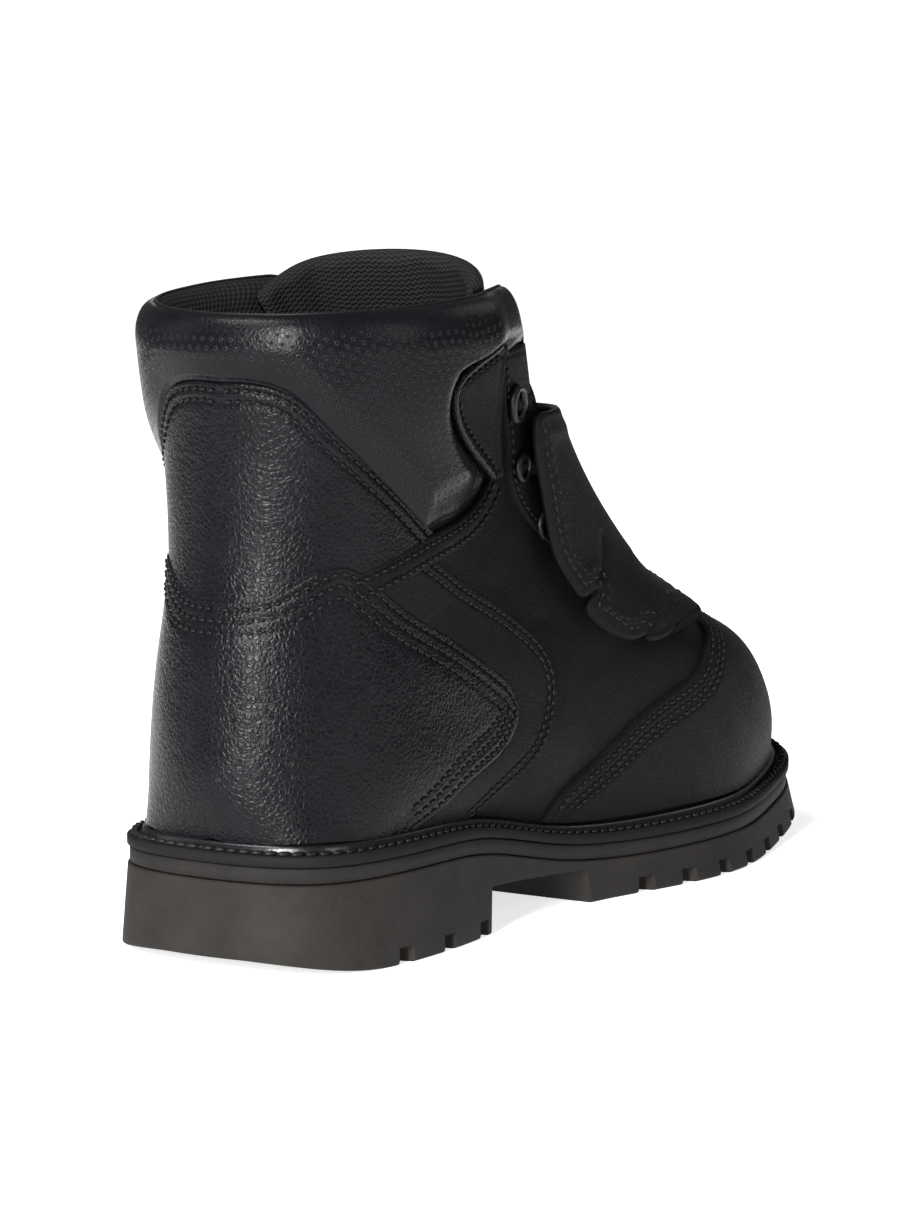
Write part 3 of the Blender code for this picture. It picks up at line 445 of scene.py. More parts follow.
SMOOTH_LEATHER = leather("smooth leather", (0.0040, 0.0042, 0.0052), 0.27, 0.00014)
COUNTER_LEATHER = leather("counter leather", (0.0040, 0.0042, 0.0052), 0.27, 0.00014)
COLLAR_LEATHER = leather("collar leather", (0.0042, 0.0044, 0.0054), 0.27, 0.00006, holes=True)
MATTE_LEATHER = leather("matte leather", (0.0042, 0.0042, 0.0047), 0.60, 0.00010, nap=1.0)
BROWN_LEATHER = leather("band leather", (0.0066, 0.0055, 0.0052), 0.62, 0.00012, nap=1.0)


# Upper: the vamp and quarters under every overlay, a thin skin on the last.
# The shaft above the throat's foot stops at the lacing edges and its inner face shows in the collar.
THROAT_FOOT, UPPER_THICK = 5.6, 0.0024
CREASES = ((2.15, 4.2, 2.6, 5.2, 0.10, 0.0005), (1.98, 5.1, 2.35, 5.9, 0.09, 0.0004),
           (2.25, 2.9, 2.75, 3.7, 0.10, 0.0003))
around, level = np.meshgrid(np.linspace(0, 10, 301), np.linspace(0.0, THROAT_FOOT, 90))
crease = np.zeros(around.shape)
for a0, k0, a1, k1, width, deep in CREASES:
    for a in (around, 10 - around):
        share = (a - a0) * (a1 - a0) * 20 + (level - k0) * (k1 - k0)
        share = np.clip(share / (20 * (a1 - a0) ** 2 + (k1 - k0) ** 2), 0, 1)
        away = np.hypot((a - a0 - share * (a1 - a0)) * 3, (level - k0 - share * (k1 - k0)))
        crease -= deep * np.exp(-(away / (3 * width)) ** 2)
vamp = sheet("vamp", skin(around, level, crease), MATTE_LEATHER)
share, level = np.meshgrid(np.linspace(-1, 1, 181), np.linspace(THROAT_FOOT, 10.0, 80))
around = share * throat_edge(level)
shaft = sheet("shaft", skin(around, level), MATTE_LEATHER)
shaft_inside = sheet("shaft_inside", skin(around, level, -UPPER_THICK), SMOOTH_LEATHER, flip=True)
show(vamp, "upper", slot="quarter leather")
show(shaft, slot="quarter leather")
show(shaft_inside, slot="quarter leather")


# Stitching: short thread stitches along chart paths, set down by Geometry Nodes from a fixed seed.
# Each path is resampled at the stitch pitch, and a stitch lies along it just proud of the leather.
def repeat_group(material):
    """Geometry Nodes that put one small rounded bead at every point, turned by the point's own turn."""
    group = bpy.data.node_groups.new("repeat beads", "GeometryNodeTree")
    face = group.interface
    face.new_socket("Geometry", in_out="INPUT", socket_type="NodeSocketGeometry")
    for label in ("Length", "Width", "Height"):
        face.new_socket(label, in_out="INPUT", socket_type="NodeSocketFloat")
    face.new_socket("Seed", in_out="INPUT", socket_type="NodeSocketInt")
    face.new_socket("Geometry", in_out="OUTPUT", socket_type="NodeSocketGeometry")
    nodes = Tree(group)
    start = nodes.add("NodeGroupInput")
    bead = nodes.add("GeometryNodeMeshUVSphere", (("Segments", 6), ("Rings", 5), ("Radius", 0.5)))[0]
    turn = nodes.add("GeometryNodeInputNamedAttribute", (("Name", "turn"),), data_type="FLOAT_VECTOR")[0]
    rotation = nodes.add("FunctionNodeEulerToRotation", ((0, turn),))[0]
    scale = nodes.add("ShaderNodeCombineXYZ", enumerate(start[label] for label in ("Length", "Width", "Height")))[0]
    vary = nodes.add("FunctionNodeRandomValue", ((2, 0.88), (3, 1.08), ("Seed", start["Seed"])))[1]
    size = nodes.add("ShaderNodeVectorMath", ((0, scale), ("Scale", vary)), operation="SCALE")[0]
    cloud = nodes.add("GeometryNodeMeshToPoints", ((0, start["Geometry"]),))[0]
    place = nodes.add("GeometryNodeInstanceOnPoints", (("Points", cloud), ("Instance", bead), ("Rotation", rotation),
                                                       ("Scale", size)))[0]
    real = nodes.add("GeometryNodeRealizeInstances", ((0, place),))[0]
    smoothed = nodes.add("GeometryNodeSetShadeSmooth", ((0, real),))[0]
    finish = nodes.add("GeometryNodeSetMaterial", ((0, smoothed), ("Material", material)))[0]
    nodes.add("NodeGroupOutput", ((0, finish),))
    return group


def beads(name, points, runs, ups, length, width, height, material, seed=1):
    """One object of beads at points, each lying along its run with its top towards its up."""
    turns = []
    for run, up in zip(runs, ups):
        x = Vector(run).normalized()
        z = Vector(up)
        z = (z - x * z.dot(x)).normalized()
        turns.append(Matrix((x, z.cross(x), z)).transposed().to_euler())
    mesh = bpy.data.meshes.new(name)
    mesh.from_pydata([tuple(p) for p in points], [], [])
    mesh.attributes.new("turn", "FLOAT_VECTOR", "POINT").data.foreach_set("vector", np.array(turns, np.float32).ravel())
    holder = linked(name + "_points", mesh)
    group = repeat_group(material)
    modifier = holder.modifiers.new("repeat", "NODES")
    modifier.node_group = group
    inputs = {item.name: item.identifier for item in group.interface.items_tree if item.in_out == "INPUT"}
    for label, value in (("Length", length), ("Width", width), ("Height", height), ("Seed", seed)):
        modifier[inputs[label]] = value
    graph = bpy.context.evaluated_depsgraph_get()
    baked = bpy.data.meshes.new_from_object(holder.evaluated_get(graph), depsgraph=graph)
    bpy.data.objects.remove(holder)
    return linked(name, baked)


THREAD = Nodes("thread").finish((0.0046, 0.0045, 0.0051), 0.5, specular=0.17)
STITCHES = []


def stitch(path, lift, pitch=0.0031, both=True):
    """Note a row of stitches along a chart path on the outer side, and its mirror on the inner side."""
    lift = np.broadcast_to(lift, len(path))
    for line, high in ((path, lift), (mirrored(path), lift[::-1]))[:1 + both]:
        points = skin(line[:, 0], line[:, 1], high)
        steps = run_lengths(points)
        count = max(2, int(steps[-1] / pitch))
        at = (np.arange(count) + 0.5) * steps[-1] / count
        run = interpolated(at + 0.0005, steps, points) - interpolated(at - 0.0005, steps, points)
        STITCHES.append((interpolated(at, steps, points), run, normal_at(*interpolated(at, steps, line).T)))


# Counter: pebbled panel round the heel, under the quarter's seam, with a scooped front.
# Its top seam dips in the middle of the back, peaks at the outer side and runs down the scoop.
def between(low, high, count):
    """Chart grid from one path to another, crowding towards both."""
    return low[:, None] + (high - low)[:, None] * even_ends(count)[:, None]


def round_back(half, reach=None):
    """Chart places of the outer side, carried on past the heel's back to the inner side."""
    return np.concatenate((half[reach:0:-1] * (-1, 1), half))


def stitch_rows(line, insets, toward, lift, low=(-1, -1), high=(11, 11)):
    """Rows of stitches at distances from a line, between two corners of the chart."""
    for inset in insets:
        path = offset(line, inset, toward)
        stitch(path[np.all((path > low) & (path < high), axis=1)], lift)


COUNTER_SEAM = ((0.0, 4.70), (0.15, 4.72), (0.33, 4.88), (0.48, 5.20), (0.65, 5.54), (0.76, 5.64), (0.86, 5.54),
                (0.98, 5.18), (1.12, 4.64), (1.28, 4.12), (1.43, 3.52), (1.55, 2.98), (1.625, 2.56), (1.640, 2.20),
                (1.595, 1.80), (1.485, 1.38), (1.30, 1.00), (1.14, 0.50), (1.02, 0.14))
COUNTER_FOOT = ((0.0, 0.2), (0.05, 0.15), (0.35, 0.14), (0.65, 0.14), (0.95, 0.13), (1.01, 0.13))
COUNTER_ROWS = (0.0026, 0.0060, 0.0094)
seam = dense(COUNTER_SEAM, 8)
inner = resampled(dense(COUNTER_FOOT, 26), len(seam))
counter = raised("counter_panel", round_back(between(inner, seam, 46)), 0.0005, 0.0015, 0.0016, COUNTER_LEATHER,
                 sides="e", grooves=COUNTER_ROWS)
show(counter, "counter", slot="quarter leather")
stitch_rows(round_back(seam, 30), COUNTER_ROWS, (0.3, 2.0), 0.0020, low=(0, -1))


# Quarter: pebbled back panel between the collar's seam and the counter, semi-gloss.
# Its upper edge is a folded, double-stitched edge over the collar's lower seam.
COLLAR_SEAM = ((0.0, 9.05), (0.12, 9.08), (0.33, 9.04), (0.55, 8.84), (0.75, 8.36), (1.03, 7.68), (1.33, 6.88),
               (1.46, 6.42))
QUARTER_FOOT = ((0.0, 4.4), (0.40, 4.7), (0.72, 5.3), (0.95, 5.5), (1.20, 5.84), (1.46, 6.22))
QUARTER_ROWS = (0.0024, 0.0056)
top = dense(COLLAR_SEAM, 14)
low = resampled(dense(QUARTER_FOOT, 14), len(top))
quarter = raised("quarter_panel", round_back(between(low, top, 60)), 0.0002, 0.0012, 0.0014, SMOOTH_LEATHER,
                 sides="e", grooves=QUARTER_ROWS)
show(quarter, slot="quarter leather")
stitch_rows(round_back(top, 30), QUARTER_ROWS, (0.5, 6.5), 0.0014, low=(0, -1))


# Saddle bands: matte band from the eyestay round the counter's front and down to the welt.
# Its own level is between the vamp and the counter, and its outer curve is double stitched.
def panel_pair(name, node, chart, *form, **edges):
    """A panel on the outer side and its mirror on the inner side."""
    for side, places in (("outer", chart), ("inner", chart[::-1] * (-1, 1) + (10, 0))):
        panel = raised(f"{name}_{side}", places, *form, **edges)
        show(panel, *([f"{node}_{side}"] if node else []), slot="matte leather")


SADDLE_INNER = ((1.30, 5.92), (1.16, 5.76), (0.98, 5.50), (0.94, 5.10), (1.10, 4.40),
                (1.36, 3.40), (1.48, 2.60), (1.44, 1.90), (1.26, 1.20), (1.06, 0.60), (0.92, 0.13))
SADDLE_OUTER = ((1.36, 5.94), (1.48, 5.66), (1.64, 5.24), (1.83, 4.72), (1.93, 3.96), (1.95, 3.12),
                (1.91, 2.40), (1.84, 1.72), (1.75, 1.24), (1.60, 0.86), (1.44, 0.46), (1.36, 0.13))
SADDLE_ROWS = (0.0022, 0.0050)
outer = dense(SADDLE_OUTER)
inner = resampled(dense(SADDLE_INNER), len(outer))
panel_pair("saddle_panel", "saddle", between(inner, outer, 40), 0.0002, 0.0013, 0.0014, BROWN_LEATHER,
           sides="e", grooves=SADDLE_ROWS)
stitch_rows(outer, SADDLE_ROWS, (1.2, 3.5), 0.0014, high=(11, 5.7))


# Toe cap: matte cap over the safety toe, its back edge triple stitched and swept to the welt.
# The cap is a little proud of the vamp all round.
CAP_EDGE = ((5.0, 4.30), (4.55, 4.24), (4.20, 4.16), (3.80, 3.97), (3.45, 3.60), (3.12, 2.96), (2.95, 2.54),
            (2.78, 2.24), (2.58, 1.93), (2.38, 1.52), (2.23, 1.16), (2.05, 0.80), (1.90, 0.46), (1.83, 0.14))
CAP_ROWS = (0.0026, 0.0062, 0.0088)
back = dense(CAP_EDGE, 14)
front = np.stack((np.interp(np.linspace(0, 1, len(back)), (0, 1), (5.0, 1.86)), np.full(len(back), 0.13)), axis=1)
half = between(front, back, 60)
cap = raised("cap_panel", np.concatenate((half[::-1], half[1:] * (-1, 1) + (10, 0))), 0.0002, 0.0016, 0.0016,
             MATTE_LEATHER, sides="e", grooves=CAP_ROWS)
show(cap, "toe_cap", slot="matte leather")
stitch_rows(back, CAP_ROWS, (4.0, 1.5), 0.0017, low=(-1, 0.3))


# Band under the collar's V: the folded, double-stitched strip from the quarter to the eyestay.
STRIP_TOP = ((0.80, 5.40), (0.95, 5.62), (1.20, 5.98), (1.48, 6.32), (1.85, 6.68), (2.12, 7.06), (2.26, 7.32))
STRIP_SIDE = (1.6, 5.5)
top = dense(STRIP_TOP, 14)
low = offset(top, 0.0084, STRIP_SIDE, trim=False)
panel_pair("strip", None, between(top, low, 24), 0.0008, 0.0014, 0.0014, MATTE_LEATHER, sides="we", grooves=(0.0020,))
stitch_rows(top, (0.0022, 0.0066), STRIP_SIDE, 0.0022)


# Eyestays: the lacing strips beside the throat, from its foot to the rim.
# The lower edge turns forward under the flap and the front edge is folded.
def eased(table, count):
    """A count of rows on the smooth curve through a table's rows."""
    return spline(np.arange(len(table)), table)(np.linspace(0, len(table) - 1, count))


EYESTAY = ((5.60, 0.70), (6.00, 0.80), (6.60, 0.95), (7.20, 0.95), (8.00, 0.82), (8.80, 0.90), (9.35, 0.98))
rows = eased(EYESTAY, 70)
front_edge = throat_edge(rows[:, 0]) - 0.02
stay = np.stack((front_edge[:, None] - rows[:, 1:] * (1 - even_ends(24)), np.repeat(rows[:, :1], 24, axis=1)), axis=-1)
panel_pair("eyestay_panel", "eyestay", stay, 0.0003, 0.0016, 0.0014, MATTE_LEATHER, grooves=(0.0020,))
stitch_rows(np.stack((front_edge - rows[:, 1], rows[:, 0]), axis=1), (0.0020,), (3.4, 7.5), 0.0018)


# Facing: the almond matte panel behind the eyestay, edged by a rolled piping and one row of stitches.
# Rows run up it: where it starts and ends, and its level.
FACING = ((2.22, 2.42, 7.30), (2.20, 2.44, 7.46), (1.99, 2.50, 7.92), (1.84, 2.56, 8.40), (1.83, 2.60, 8.86),
          (2.05, 2.66, 9.20), (2.50, 2.72, 9.46))
rows = eased(FACING, 70)
left = rows[:, [0, 2]]
panel_pair("facing_panel", "facing", between(left, rows[:, 1:], 26), 0.0016, 0.0014, 0.0018, MATTE_LEATHER,
           grooves=(0.0032,))


def tube(name, path, radius, material, sides=8, closed=False, flat=1.0, ups=(0.0, 0.0, 1.0)):
    """Round or flattened tube along points."""
    path = np.asarray(path, float)
    run = unit(np.roll(path, -1, axis=0) - np.roll(path, 1, axis=0) if closed else np.gradient(path, axis=0))
    side = unit(np.cross(run, np.broadcast_to(ups, path.shape)))
    up = np.cross(side, run)
    turn = np.linspace(0, 2 * np.pi, sides, endpoint=False)
    points = path[:, None] + radius * (np.cos(turn)[:, None] * side[:, None]
                                       + flat * np.sin(turn)[:, None] * up[:, None])
    faces = grid(len(path), sides, closed, True)[:, [0, 3, 2, 1]].tolist()
    if not closed:
        faces += [range(sides), range(len(path) * sides - 1, (len(path) - 1) * sides - 1, -1)]
    uv = np.stack((np.repeat(run_lengths(path), sides), np.tile(turn, len(path)) * 0.001), axis=1)
    return mesh_object(name, points.reshape(-1, 3), faces, material, uv)


for side, line in (("outer", left), ("inner", mirrored(left))):
    a, k = line.T
    show(tube("piping_" + side, skin(a, k, 0.0030), 0.0013, SMOOTH_LEATHER, 10, ups=normal_at(a, k)),
         slot="matte leather")
stitch_rows(left, (0.0030,), (2.45, 8.4), 0.0029)


# Collar: padded, perforated leather cuff from its low seam over the rim to the knit lining.
# The pad swells away from the seams and is thinner towards the rim.
COLLAR_EDGE = ((0.00, 9.08), (0.33, 9.05), (0.55, 8.84), (0.75, 8.36), (1.03, 7.68), (1.33, 6.86), (1.47, 6.36),
               (1.66, 6.56), (1.85, 6.68), (2.12, 7.00), (2.28, 7.16), (2.40, 7.60), (2.45, 8.2), (2.50, 8.8),
               (2.80, 9.20), (3.80, 9.30))
ALMOND = ((2.26, 7.20), (2.20, 7.46), (1.99, 7.92), (1.84, 8.40), (1.83, 8.86), (2.05, 9.20), (2.50, 9.46),
          (3.10, 9.44), (3.80, 9.40))
ROLL_START, ROLL_TALL, LEATHER_END = 9.62, 0.70, 13
CORNER_START, CORNER_SPAN, CORNER_DROP = 3.10, 0.56, 0.62
LEVEL_RISE, SEAM_LIFT, INNER_REACH = 0.0195, -0.001, 0.0075
table = np.concatenate((dense(COLLAR_EDGE[:7], 20), dense(COLLAR_EDGE[6:], 20)))
share = np.linspace(-0.995, 0.995, 361)
at_rim = np.abs(share * throat_edge(10.0))
start = np.interp(at_rim, table[:, 0], table[:, 1])
rise = np.linspace(0, 1, 76)[:, None]
level = start + (ROLL_START - start) * rise
around = share * throat_edge(level)
corner = 1 - np.sqrt(1 - np.clip((at_rim - CORNER_START) / CORNER_SPAN, 0, 1) ** 2)
level = level - CORNER_DROP * corner * rise
above = (level - start) * LEVEL_RISE
border = dense(ALMOND)
clear = distance_to(np.concatenate((last(*border.T), last(*mirrored(border).T))), last(around, level))
almond_back = np.interp(level, [row[1] for row in ALMOND[:7]], [row[0] for row in ALMOND[:7]])
clear[(np.abs(around) > almond_back) & (level < 9.46) & (level > 7.2)] = 0
clear = smooth((clear - 0.0008) / (0.011 - 0.0065 * smooth((level - 9.2) / 0.3)))
closing = np.sqrt(1 - np.clip((np.abs(share) - 0.915) / 0.08, 0, 1) ** 2)
puff = 0.0030 + 0.0046 * smooth((at_rim - 0.9) / 0.9)
pad = (smooth(above / 0.018) ** 0.8 * puff * clear ** 0.8 * (1 - 0.10 * smooth((rise - 0.55) / 0.45))
       * smooth((ROLL_START - start) / 0.4))
tuck = -0.0010 * (1 - smooth(above / 0.0025))
low_points = skin(around, level, SEAM_LIFT + (0.0030 + pad + tuck) * closing)
angles = np.radians(np.linspace(8, 180, 26))[:, None]
outer_reach = 0.0020 + pad[-1]
middle, half = (outer_reach - INNER_REACH) / 2, (outer_reach + INNER_REACH) / 2
roll_tall = closing * (1 - 0.45 * corner)
roll_level = ROLL_START - CORNER_DROP * corner + ROLL_TALL * np.sin(angles) * roll_tall
roll_lift = SEAM_LIFT + (middle + half * np.cos(angles) - SEAM_LIFT) * closing
roll_points = skin(share * throat_edge(roll_level), roll_level, roll_lift)
points = np.concatenate((low_points, roll_points))
uv = lengths(points)
holes = np.concatenate((clear * smooth((above - 0.006) / 0.003),
                        clear[-1] * (1 - smooth((np.degrees(angles) - 30) / 8))))
split = len(low_points) + LEATHER_END + 1
collar = mesh_object("collar_leather", points[:split].reshape(-1, 3), grid(split, len(share)), COLLAR_LEATHER,
                     uv[:split].reshape(-1, 2), {"holes": holes[:split]})
show(collar, "collar", slot="collar leather", padded=0.8)


# Lining: black knit mesh inside the collar, with soft humps where the pad presses.
# The knit is a fine woven bump with a matte, slightly fuzzy surface, with painted shade between its loops and painted
# light on them.
def knit(name, colour):
    n = Nodes(name)
    u, v = n.uv()
    wale = n.math("SINE", n.times(u, 2 * math.pi / 0.0021))
    course = n.math("SINE", n.plus(n.times(v, 2 * math.pi / 0.0016), n.times(wale, 0.9)))
    loops = n.plus(n.times(n.times(wale, course), 0.5), 0.5)
    normal = n.bump(loops, 0.00055)
    # Colour follows the loops: painted shade in their hollows, painted light on their tops.
    return n.finish(n.mix(loops, scaled(colour, 0.35), scaled(colour, 1.5)), 0.88, normal, specular=0.07)


KNIT = knit("knit lining", (0.016, 0.016, 0.0172))
inner_level = np.linspace(ROLL_START, 8.4, 30)[:, None] - CORNER_DROP * corner
hump = 0.0018 * np.exp(-((share * 3.75 - 1.1) / 0.25) ** 2)
inner_lift = (SEAM_LIFT - (INNER_REACH + SEAM_LIFT) * closing + 0.0036 * smooth((9.2 - inner_level) / 0.8) - hump)
inner_points = skin(share * throat_edge(inner_level), inner_level, inner_lift)
lining = sheet("lining", np.concatenate((roll_points[LEATHER_END:], inner_points[1:])), KNIT)
show(lining, slot="knit lining", padded=0.6)
show(tube("lining_seam", roll_points[LEATHER_END], 0.0006, THREAD, 6), slot="collar leather")


# Tongue: padded and knit-lined, its leather face towards the flap, wide where it lines the collar.
# Its top edge is rounded off at both corners and stands above the collar.
TONGUE_WIDTH = ((5.2, 1.1), (6.5, 1.5), (8.0, 1.95), (9.0, 2.15), (10.8, 2.15))
levels = np.linspace(5.3, 10.74, 90)[:, None]
share = np.linspace(-1, 1, 121)
crown = (levels - 5.2) / 5.55
around = 5 + 0.30 * crown ** 2 + share * np.interp(levels, *zip(*TONGUE_WIDTH))
level = levels - 0.72 * crown ** 4 * np.abs(share + 0.08) ** 2.0
depth = UPPER_THICK + 0.0011 + 0.0048 * smooth((level - 7.7) / 0.7)
thick = 0.0050 * (0.5 + 0.5 * smooth((level - 5.2) / 1.5))
rounding = np.sqrt(np.clip(1 - np.clip((np.maximum(np.abs(share) - 0.9, 0) / 0.1), 0, 1) ** 2, 0, 1))
middle = -depth - thick / 2
face = skin(around, level, middle + thick / 2 * rounding)
back = skin(around, level, middle - thick / 2 * rounding - 0.0006 * np.cos(share * 9) ** 2)
cap_angles = np.radians(np.linspace(15, 165, 11))[:, None]
over = skin(around[-1], level[-1] + 0.13 * np.sin(cap_angles),
            middle[-1] + thick[-1] / 2 * np.cos(cap_angles) * rounding)
tongue_face = sheet("tongue_face", np.concatenate((face, over[:3])), SMOOTH_LEATHER)
tongue_back = sheet("tongue_lining", np.concatenate((over[2:], back[::-1])), KNIT)
show(tongue_face, "tongue", slot="knit lining", padded=0.6)
show(tongue_back, slot="knit lining", padded=0.6)


# Met guard: the thick scalloped flap over the instep, stiff and free at its lower end.
# Rows run from its top to its tip: outer edge's around and level, and the middle's level.
GUARD = ((3.15, 8.30, 7.95), (2.95, 8.20, 7.82), (2.80, 7.62, 7.55), (2.70, 7.02, 7.15),
         (2.58, 6.40, 6.85), (2.48, 5.78, 6.50), (2.46, 5.16, 6.22), (2.48, 4.90, 6.12),
         (2.64, 5.06, 6.06), (2.45, 4.66, 5.97), (2.36, 4.18, 5.83), (2.38, 3.66, 5.71),
         (2.53, 3.42, 5.64), (2.69, 3.74, 5.58), (2.60, 3.38, 5.54), (2.76, 3.40, 5.51),
         (2.94, 3.68, 5.48))
FLAP_HALF, FLAP_MIDDLE = 0.0014, 0.0016
SLIT_AROUND, SLIT_LEVEL, SLIT_ROUND, SLIT_UP = 3.28, 6.12, -0.50, -0.84
rows = eased(GUARD, 190)
reach = np.linspace(0, 1, 190)[:, None]
around = rows[:, 0:1] + (5.0 - rows[:, 0:1]) * np.linspace(0, 1, 70) ** 1.15
cross = (around - rows[:, 0:1]) / (5.0 - rows[:, 0:1])
level = rows[:, 1:2] + (rows[:, 2:3] - rows[:, 1:2]) * cross
level = level - (0.22 * np.sin(np.pi * 2 * cross) ** 2) * smooth((reach - 0.8) / 0.2)
around = np.concatenate((around, 10 - around[:, -2::-1]), axis=1)
level = np.concatenate((level, level[:, -2::-1]), axis=1)
lift = 0.0056 - 0.0020 * smooth((reach - 0.45) / 0.4) + 0 * around
flat = skin(around, level, lift)
away = distance_to(np.concatenate((flat[:, 0], flat[-1], flat[::-1, -1], flat[0])), flat)
slit = np.zeros(around.shape)
for a in (around, 10 - around):
    part = (a - SLIT_AROUND) * SLIT_ROUND * 9 + (level - SLIT_LEVEL) * SLIT_UP
    part = np.clip(part / (SLIT_ROUND ** 2 * 9 + SLIT_UP ** 2), 0, 1)
    off = np.hypot((a - SLIT_AROUND - SLIT_ROUND * part) * 3, level - SLIT_LEVEL - SLIT_UP * part) * 0.012
    slit = np.maximum(slit, np.exp(-(off / 0.0011) ** 2))
edge_round = np.sqrt(1 - (1 - np.clip(away / FLAP_HALF, 0, 1)) ** 2)
ridge = 0.0004 * np.exp(-((away - 0.0065) / 0.0022) ** 2)
top_face = skin(around, level, lift + FLAP_MIDDLE + FLAP_HALF * edge_round - 0.0009 * slit + ridge)
low_face = skin(around, level, lift + FLAP_MIDDLE - FLAP_HALF * edge_round)
faces = grid(*around.shape)
guard = mesh_object("guard_flap", np.concatenate((top_face.reshape(-1, 3), low_face.reshape(-1, 3))),
                    np.concatenate((faces, faces[:, ::-1] + around.size)), MATTE_LEATHER,
                    np.tile(lengths(flat).reshape(-1, 2), (2, 1)))
show(guard, "met_guard", slot="guard leather")


def guard_lift(path):
    """Lift of the flap's top at chart places."""
    near = [np.argmin(np.hypot((around - a) * 0.03, (level - k) * 0.02)) for a, k in path]
    return lift.ravel()[near] + FLAP_MIDDLE + FLAP_HALF


tip = np.stack((around[-1], level[-1]), axis=1)[4:-4:2]
for line, past, toward, both in ((rows[4:186:2, :2], 0.0, (4.0, 6.2), True), (tip, 0.0010, (5.0, 6.8), False)):
    for inset in (0.0036, 0.0064):
        path = offset(line, inset + past, toward)
        stitch(path, guard_lift(path), pitch=0.0036, both=both)


# Metal: eyelets as rolled rings on the eyestays, and hexagonal speed hooks above them, each ring filled with a
# near-black disc of painted shade.
# A row gives a piece's name, chart place, half width, half height, corners and wire.
metal = Nodes("black metal")
METAL = metal.finish((0.012, 0.012, 0.013), metal.plus(0.28, metal.times(metal.noise(700.0), 0.2)),
                     metallic=0.7, specular=0.6)
# Near-black finish for the discs in the rings: painted shade.
hole_and_shade = Nodes("eyelet hole").finish((0.001, 0.001, 0.001), 0.9)
RINGS = (("eyelet_low", 2.72, 6.45, 0.0036, 0.0036, 40, 0.0010),
         ("eyelet_high", 2.73, 7.44, 0.0036, 0.0036, 40, 0.0010),
         ("hook", 2.86, 8.46, 0.0041, 0.0060, 6, 0.0013))
for side in ("outer", "inner"):
    for label, around, level, radius, tall, corners, wire in RINGS:
        around = 10 - around if side == "inner" else around
        centre, out = skin(around, level, 0.0031), normal_at(np.array(around), np.array(level))
        up = last(around, level + 0.05) - last(around, level - 0.05)
        up = unit(up - out * np.dot(up, out))
        across = np.cross(up, out)
        turn = np.linspace(0, 2 * np.pi, corners, endpoint=False) + np.pi / 2
        ring = centre + radius * np.cos(turn)[:, None] * across + tall * np.sin(turn)[:, None] * up
        if corners == 6:
            ring = np.concatenate([np.stack([a + (b - a) * part for part in (0.14, 0.5, 0.86)])
                                   for a, b in zip(ring, np.roll(ring, -1, axis=0))])
        piece = tube(f"{label}_ring_{side}", ring, wire, METAL, 10, closed=True, ups=out)
        show(piece, f"{label}_{side}", slot="black metal")
        # A near-black disc just inside each ring: painted shade in its hole.
        shade_fill = mesh_object(f"{label}_inside_{side}", np.concatenate((ring - out * 0.0009, [centre - out * 0.0006])),
                           [(i, (i + 1) % len(ring), len(ring)) for i in range(len(ring))], hole_and_shade)
        show(shade_fill, slot="black metal")


# Lace: flat woven cord crossing the throat under the flap, through the eyelets and round the hooks.
# A run goes straight or across from one side's ring to the other's, and dips towards the tongue higher up.
weave = Nodes("lace")
u, v = weave.uv()
twill_and_shade = weave.math("SINE", weave.plus(weave.times(u, 3600.0), weave.times(v, 2500.0)))
# Colour follows the twill: painted shade in its grooves, painted light on its ridges.
LACE = weave.finish(weave.mix(weave.times(weave.plus(twill_and_shade, 1.0), 0.5), (0.004, 0.004, 0.004), (0.013, 0.013, 0.013)),
                    0.85, weave.bump(twill_and_shade, 0.0002), specular=0.12)
LACE_SIDE, LACE_HALF = 2.74, 0.0017
share = np.linspace(0, 1, 60)
for number, (way, k0, k1) in enumerate(((1, 6.45, 6.45), (1, 6.45, 7.44), (-1, 6.45, 7.44), (1, 7.44, 8.46),
                                        (-1, 7.44, 8.46), (1, 8.46, 8.46))):
    a0, a1 = (LACE_SIDE, 10 - LACE_SIDE)[::way]
    ends = np.exp(-(share / 0.03) ** 2) + np.exp(-((1 - share) / 0.03) ** 2)
    a, k = a0 + (a1 - a0) * share, k0 + (k1 - k0) * share
    lift = 0.0034 + 0.0005 * (number % 2) - 0.0024 * ends
    lift = lift - 0.0055 * np.sin(np.pi * share) * smooth((k - 7.8) / 0.6)
    piece = tube(f"lace_run_{number}", skin(a, k, lift), LACE_HALF, LACE, 10, flat=0.75, ups=normal_at(a, k))
    show(piece, *(("lace",) if number == 0 else ()), slot="lace")


# Welt: polished leather strip with a glossy storm bead by the upper and a rope-like stitch on its shelf.
# The bead's section is round and its reach follows the upper's foot.
turns = np.linspace(0, 2, 721)
bead = np.interp(feather_place(np.linspace(0, 10, 401))[:, 0], (0, 2), (0, 2))
foot_turn = np.interp(turns, bead, np.linspace(0, 10, 401))
reach = np.full(len(turns), WELT_WIDTH)
rim = edge(turns)
outward = (rim - edge(turns, 0.001)) / 0.001
for share in (0.0, 0.05, 0.11):
    spot = (last(foot_turn, share) - SHIFT)[:, :2]
    reach = np.minimum(reach, np.sum((rim - spot) * outward, axis=1))
reach = reach - 0.0002
section = [(0.0, 0.0004, -0.0032), (0.0, -0.0002, -0.0028), (0.0, -0.0002, -0.0005), (0.0, 0.0006, 0.0)]
section += [(1.0, -0.0030, 0.0)] + [(1.0, -0.0014 - 0.0013 * math.cos(t), 0.0004 + 0.0019 * math.sin(t))
                                   for t in np.radians(np.linspace(10, 170, 9))] + [(1.0, 0.0012, 0.0)]


def placed(flat, height):
    """Places of the sole's plan at their heights, in the frame."""
    return np.concatenate((flat, height[:, None]), axis=1) + SHIFT


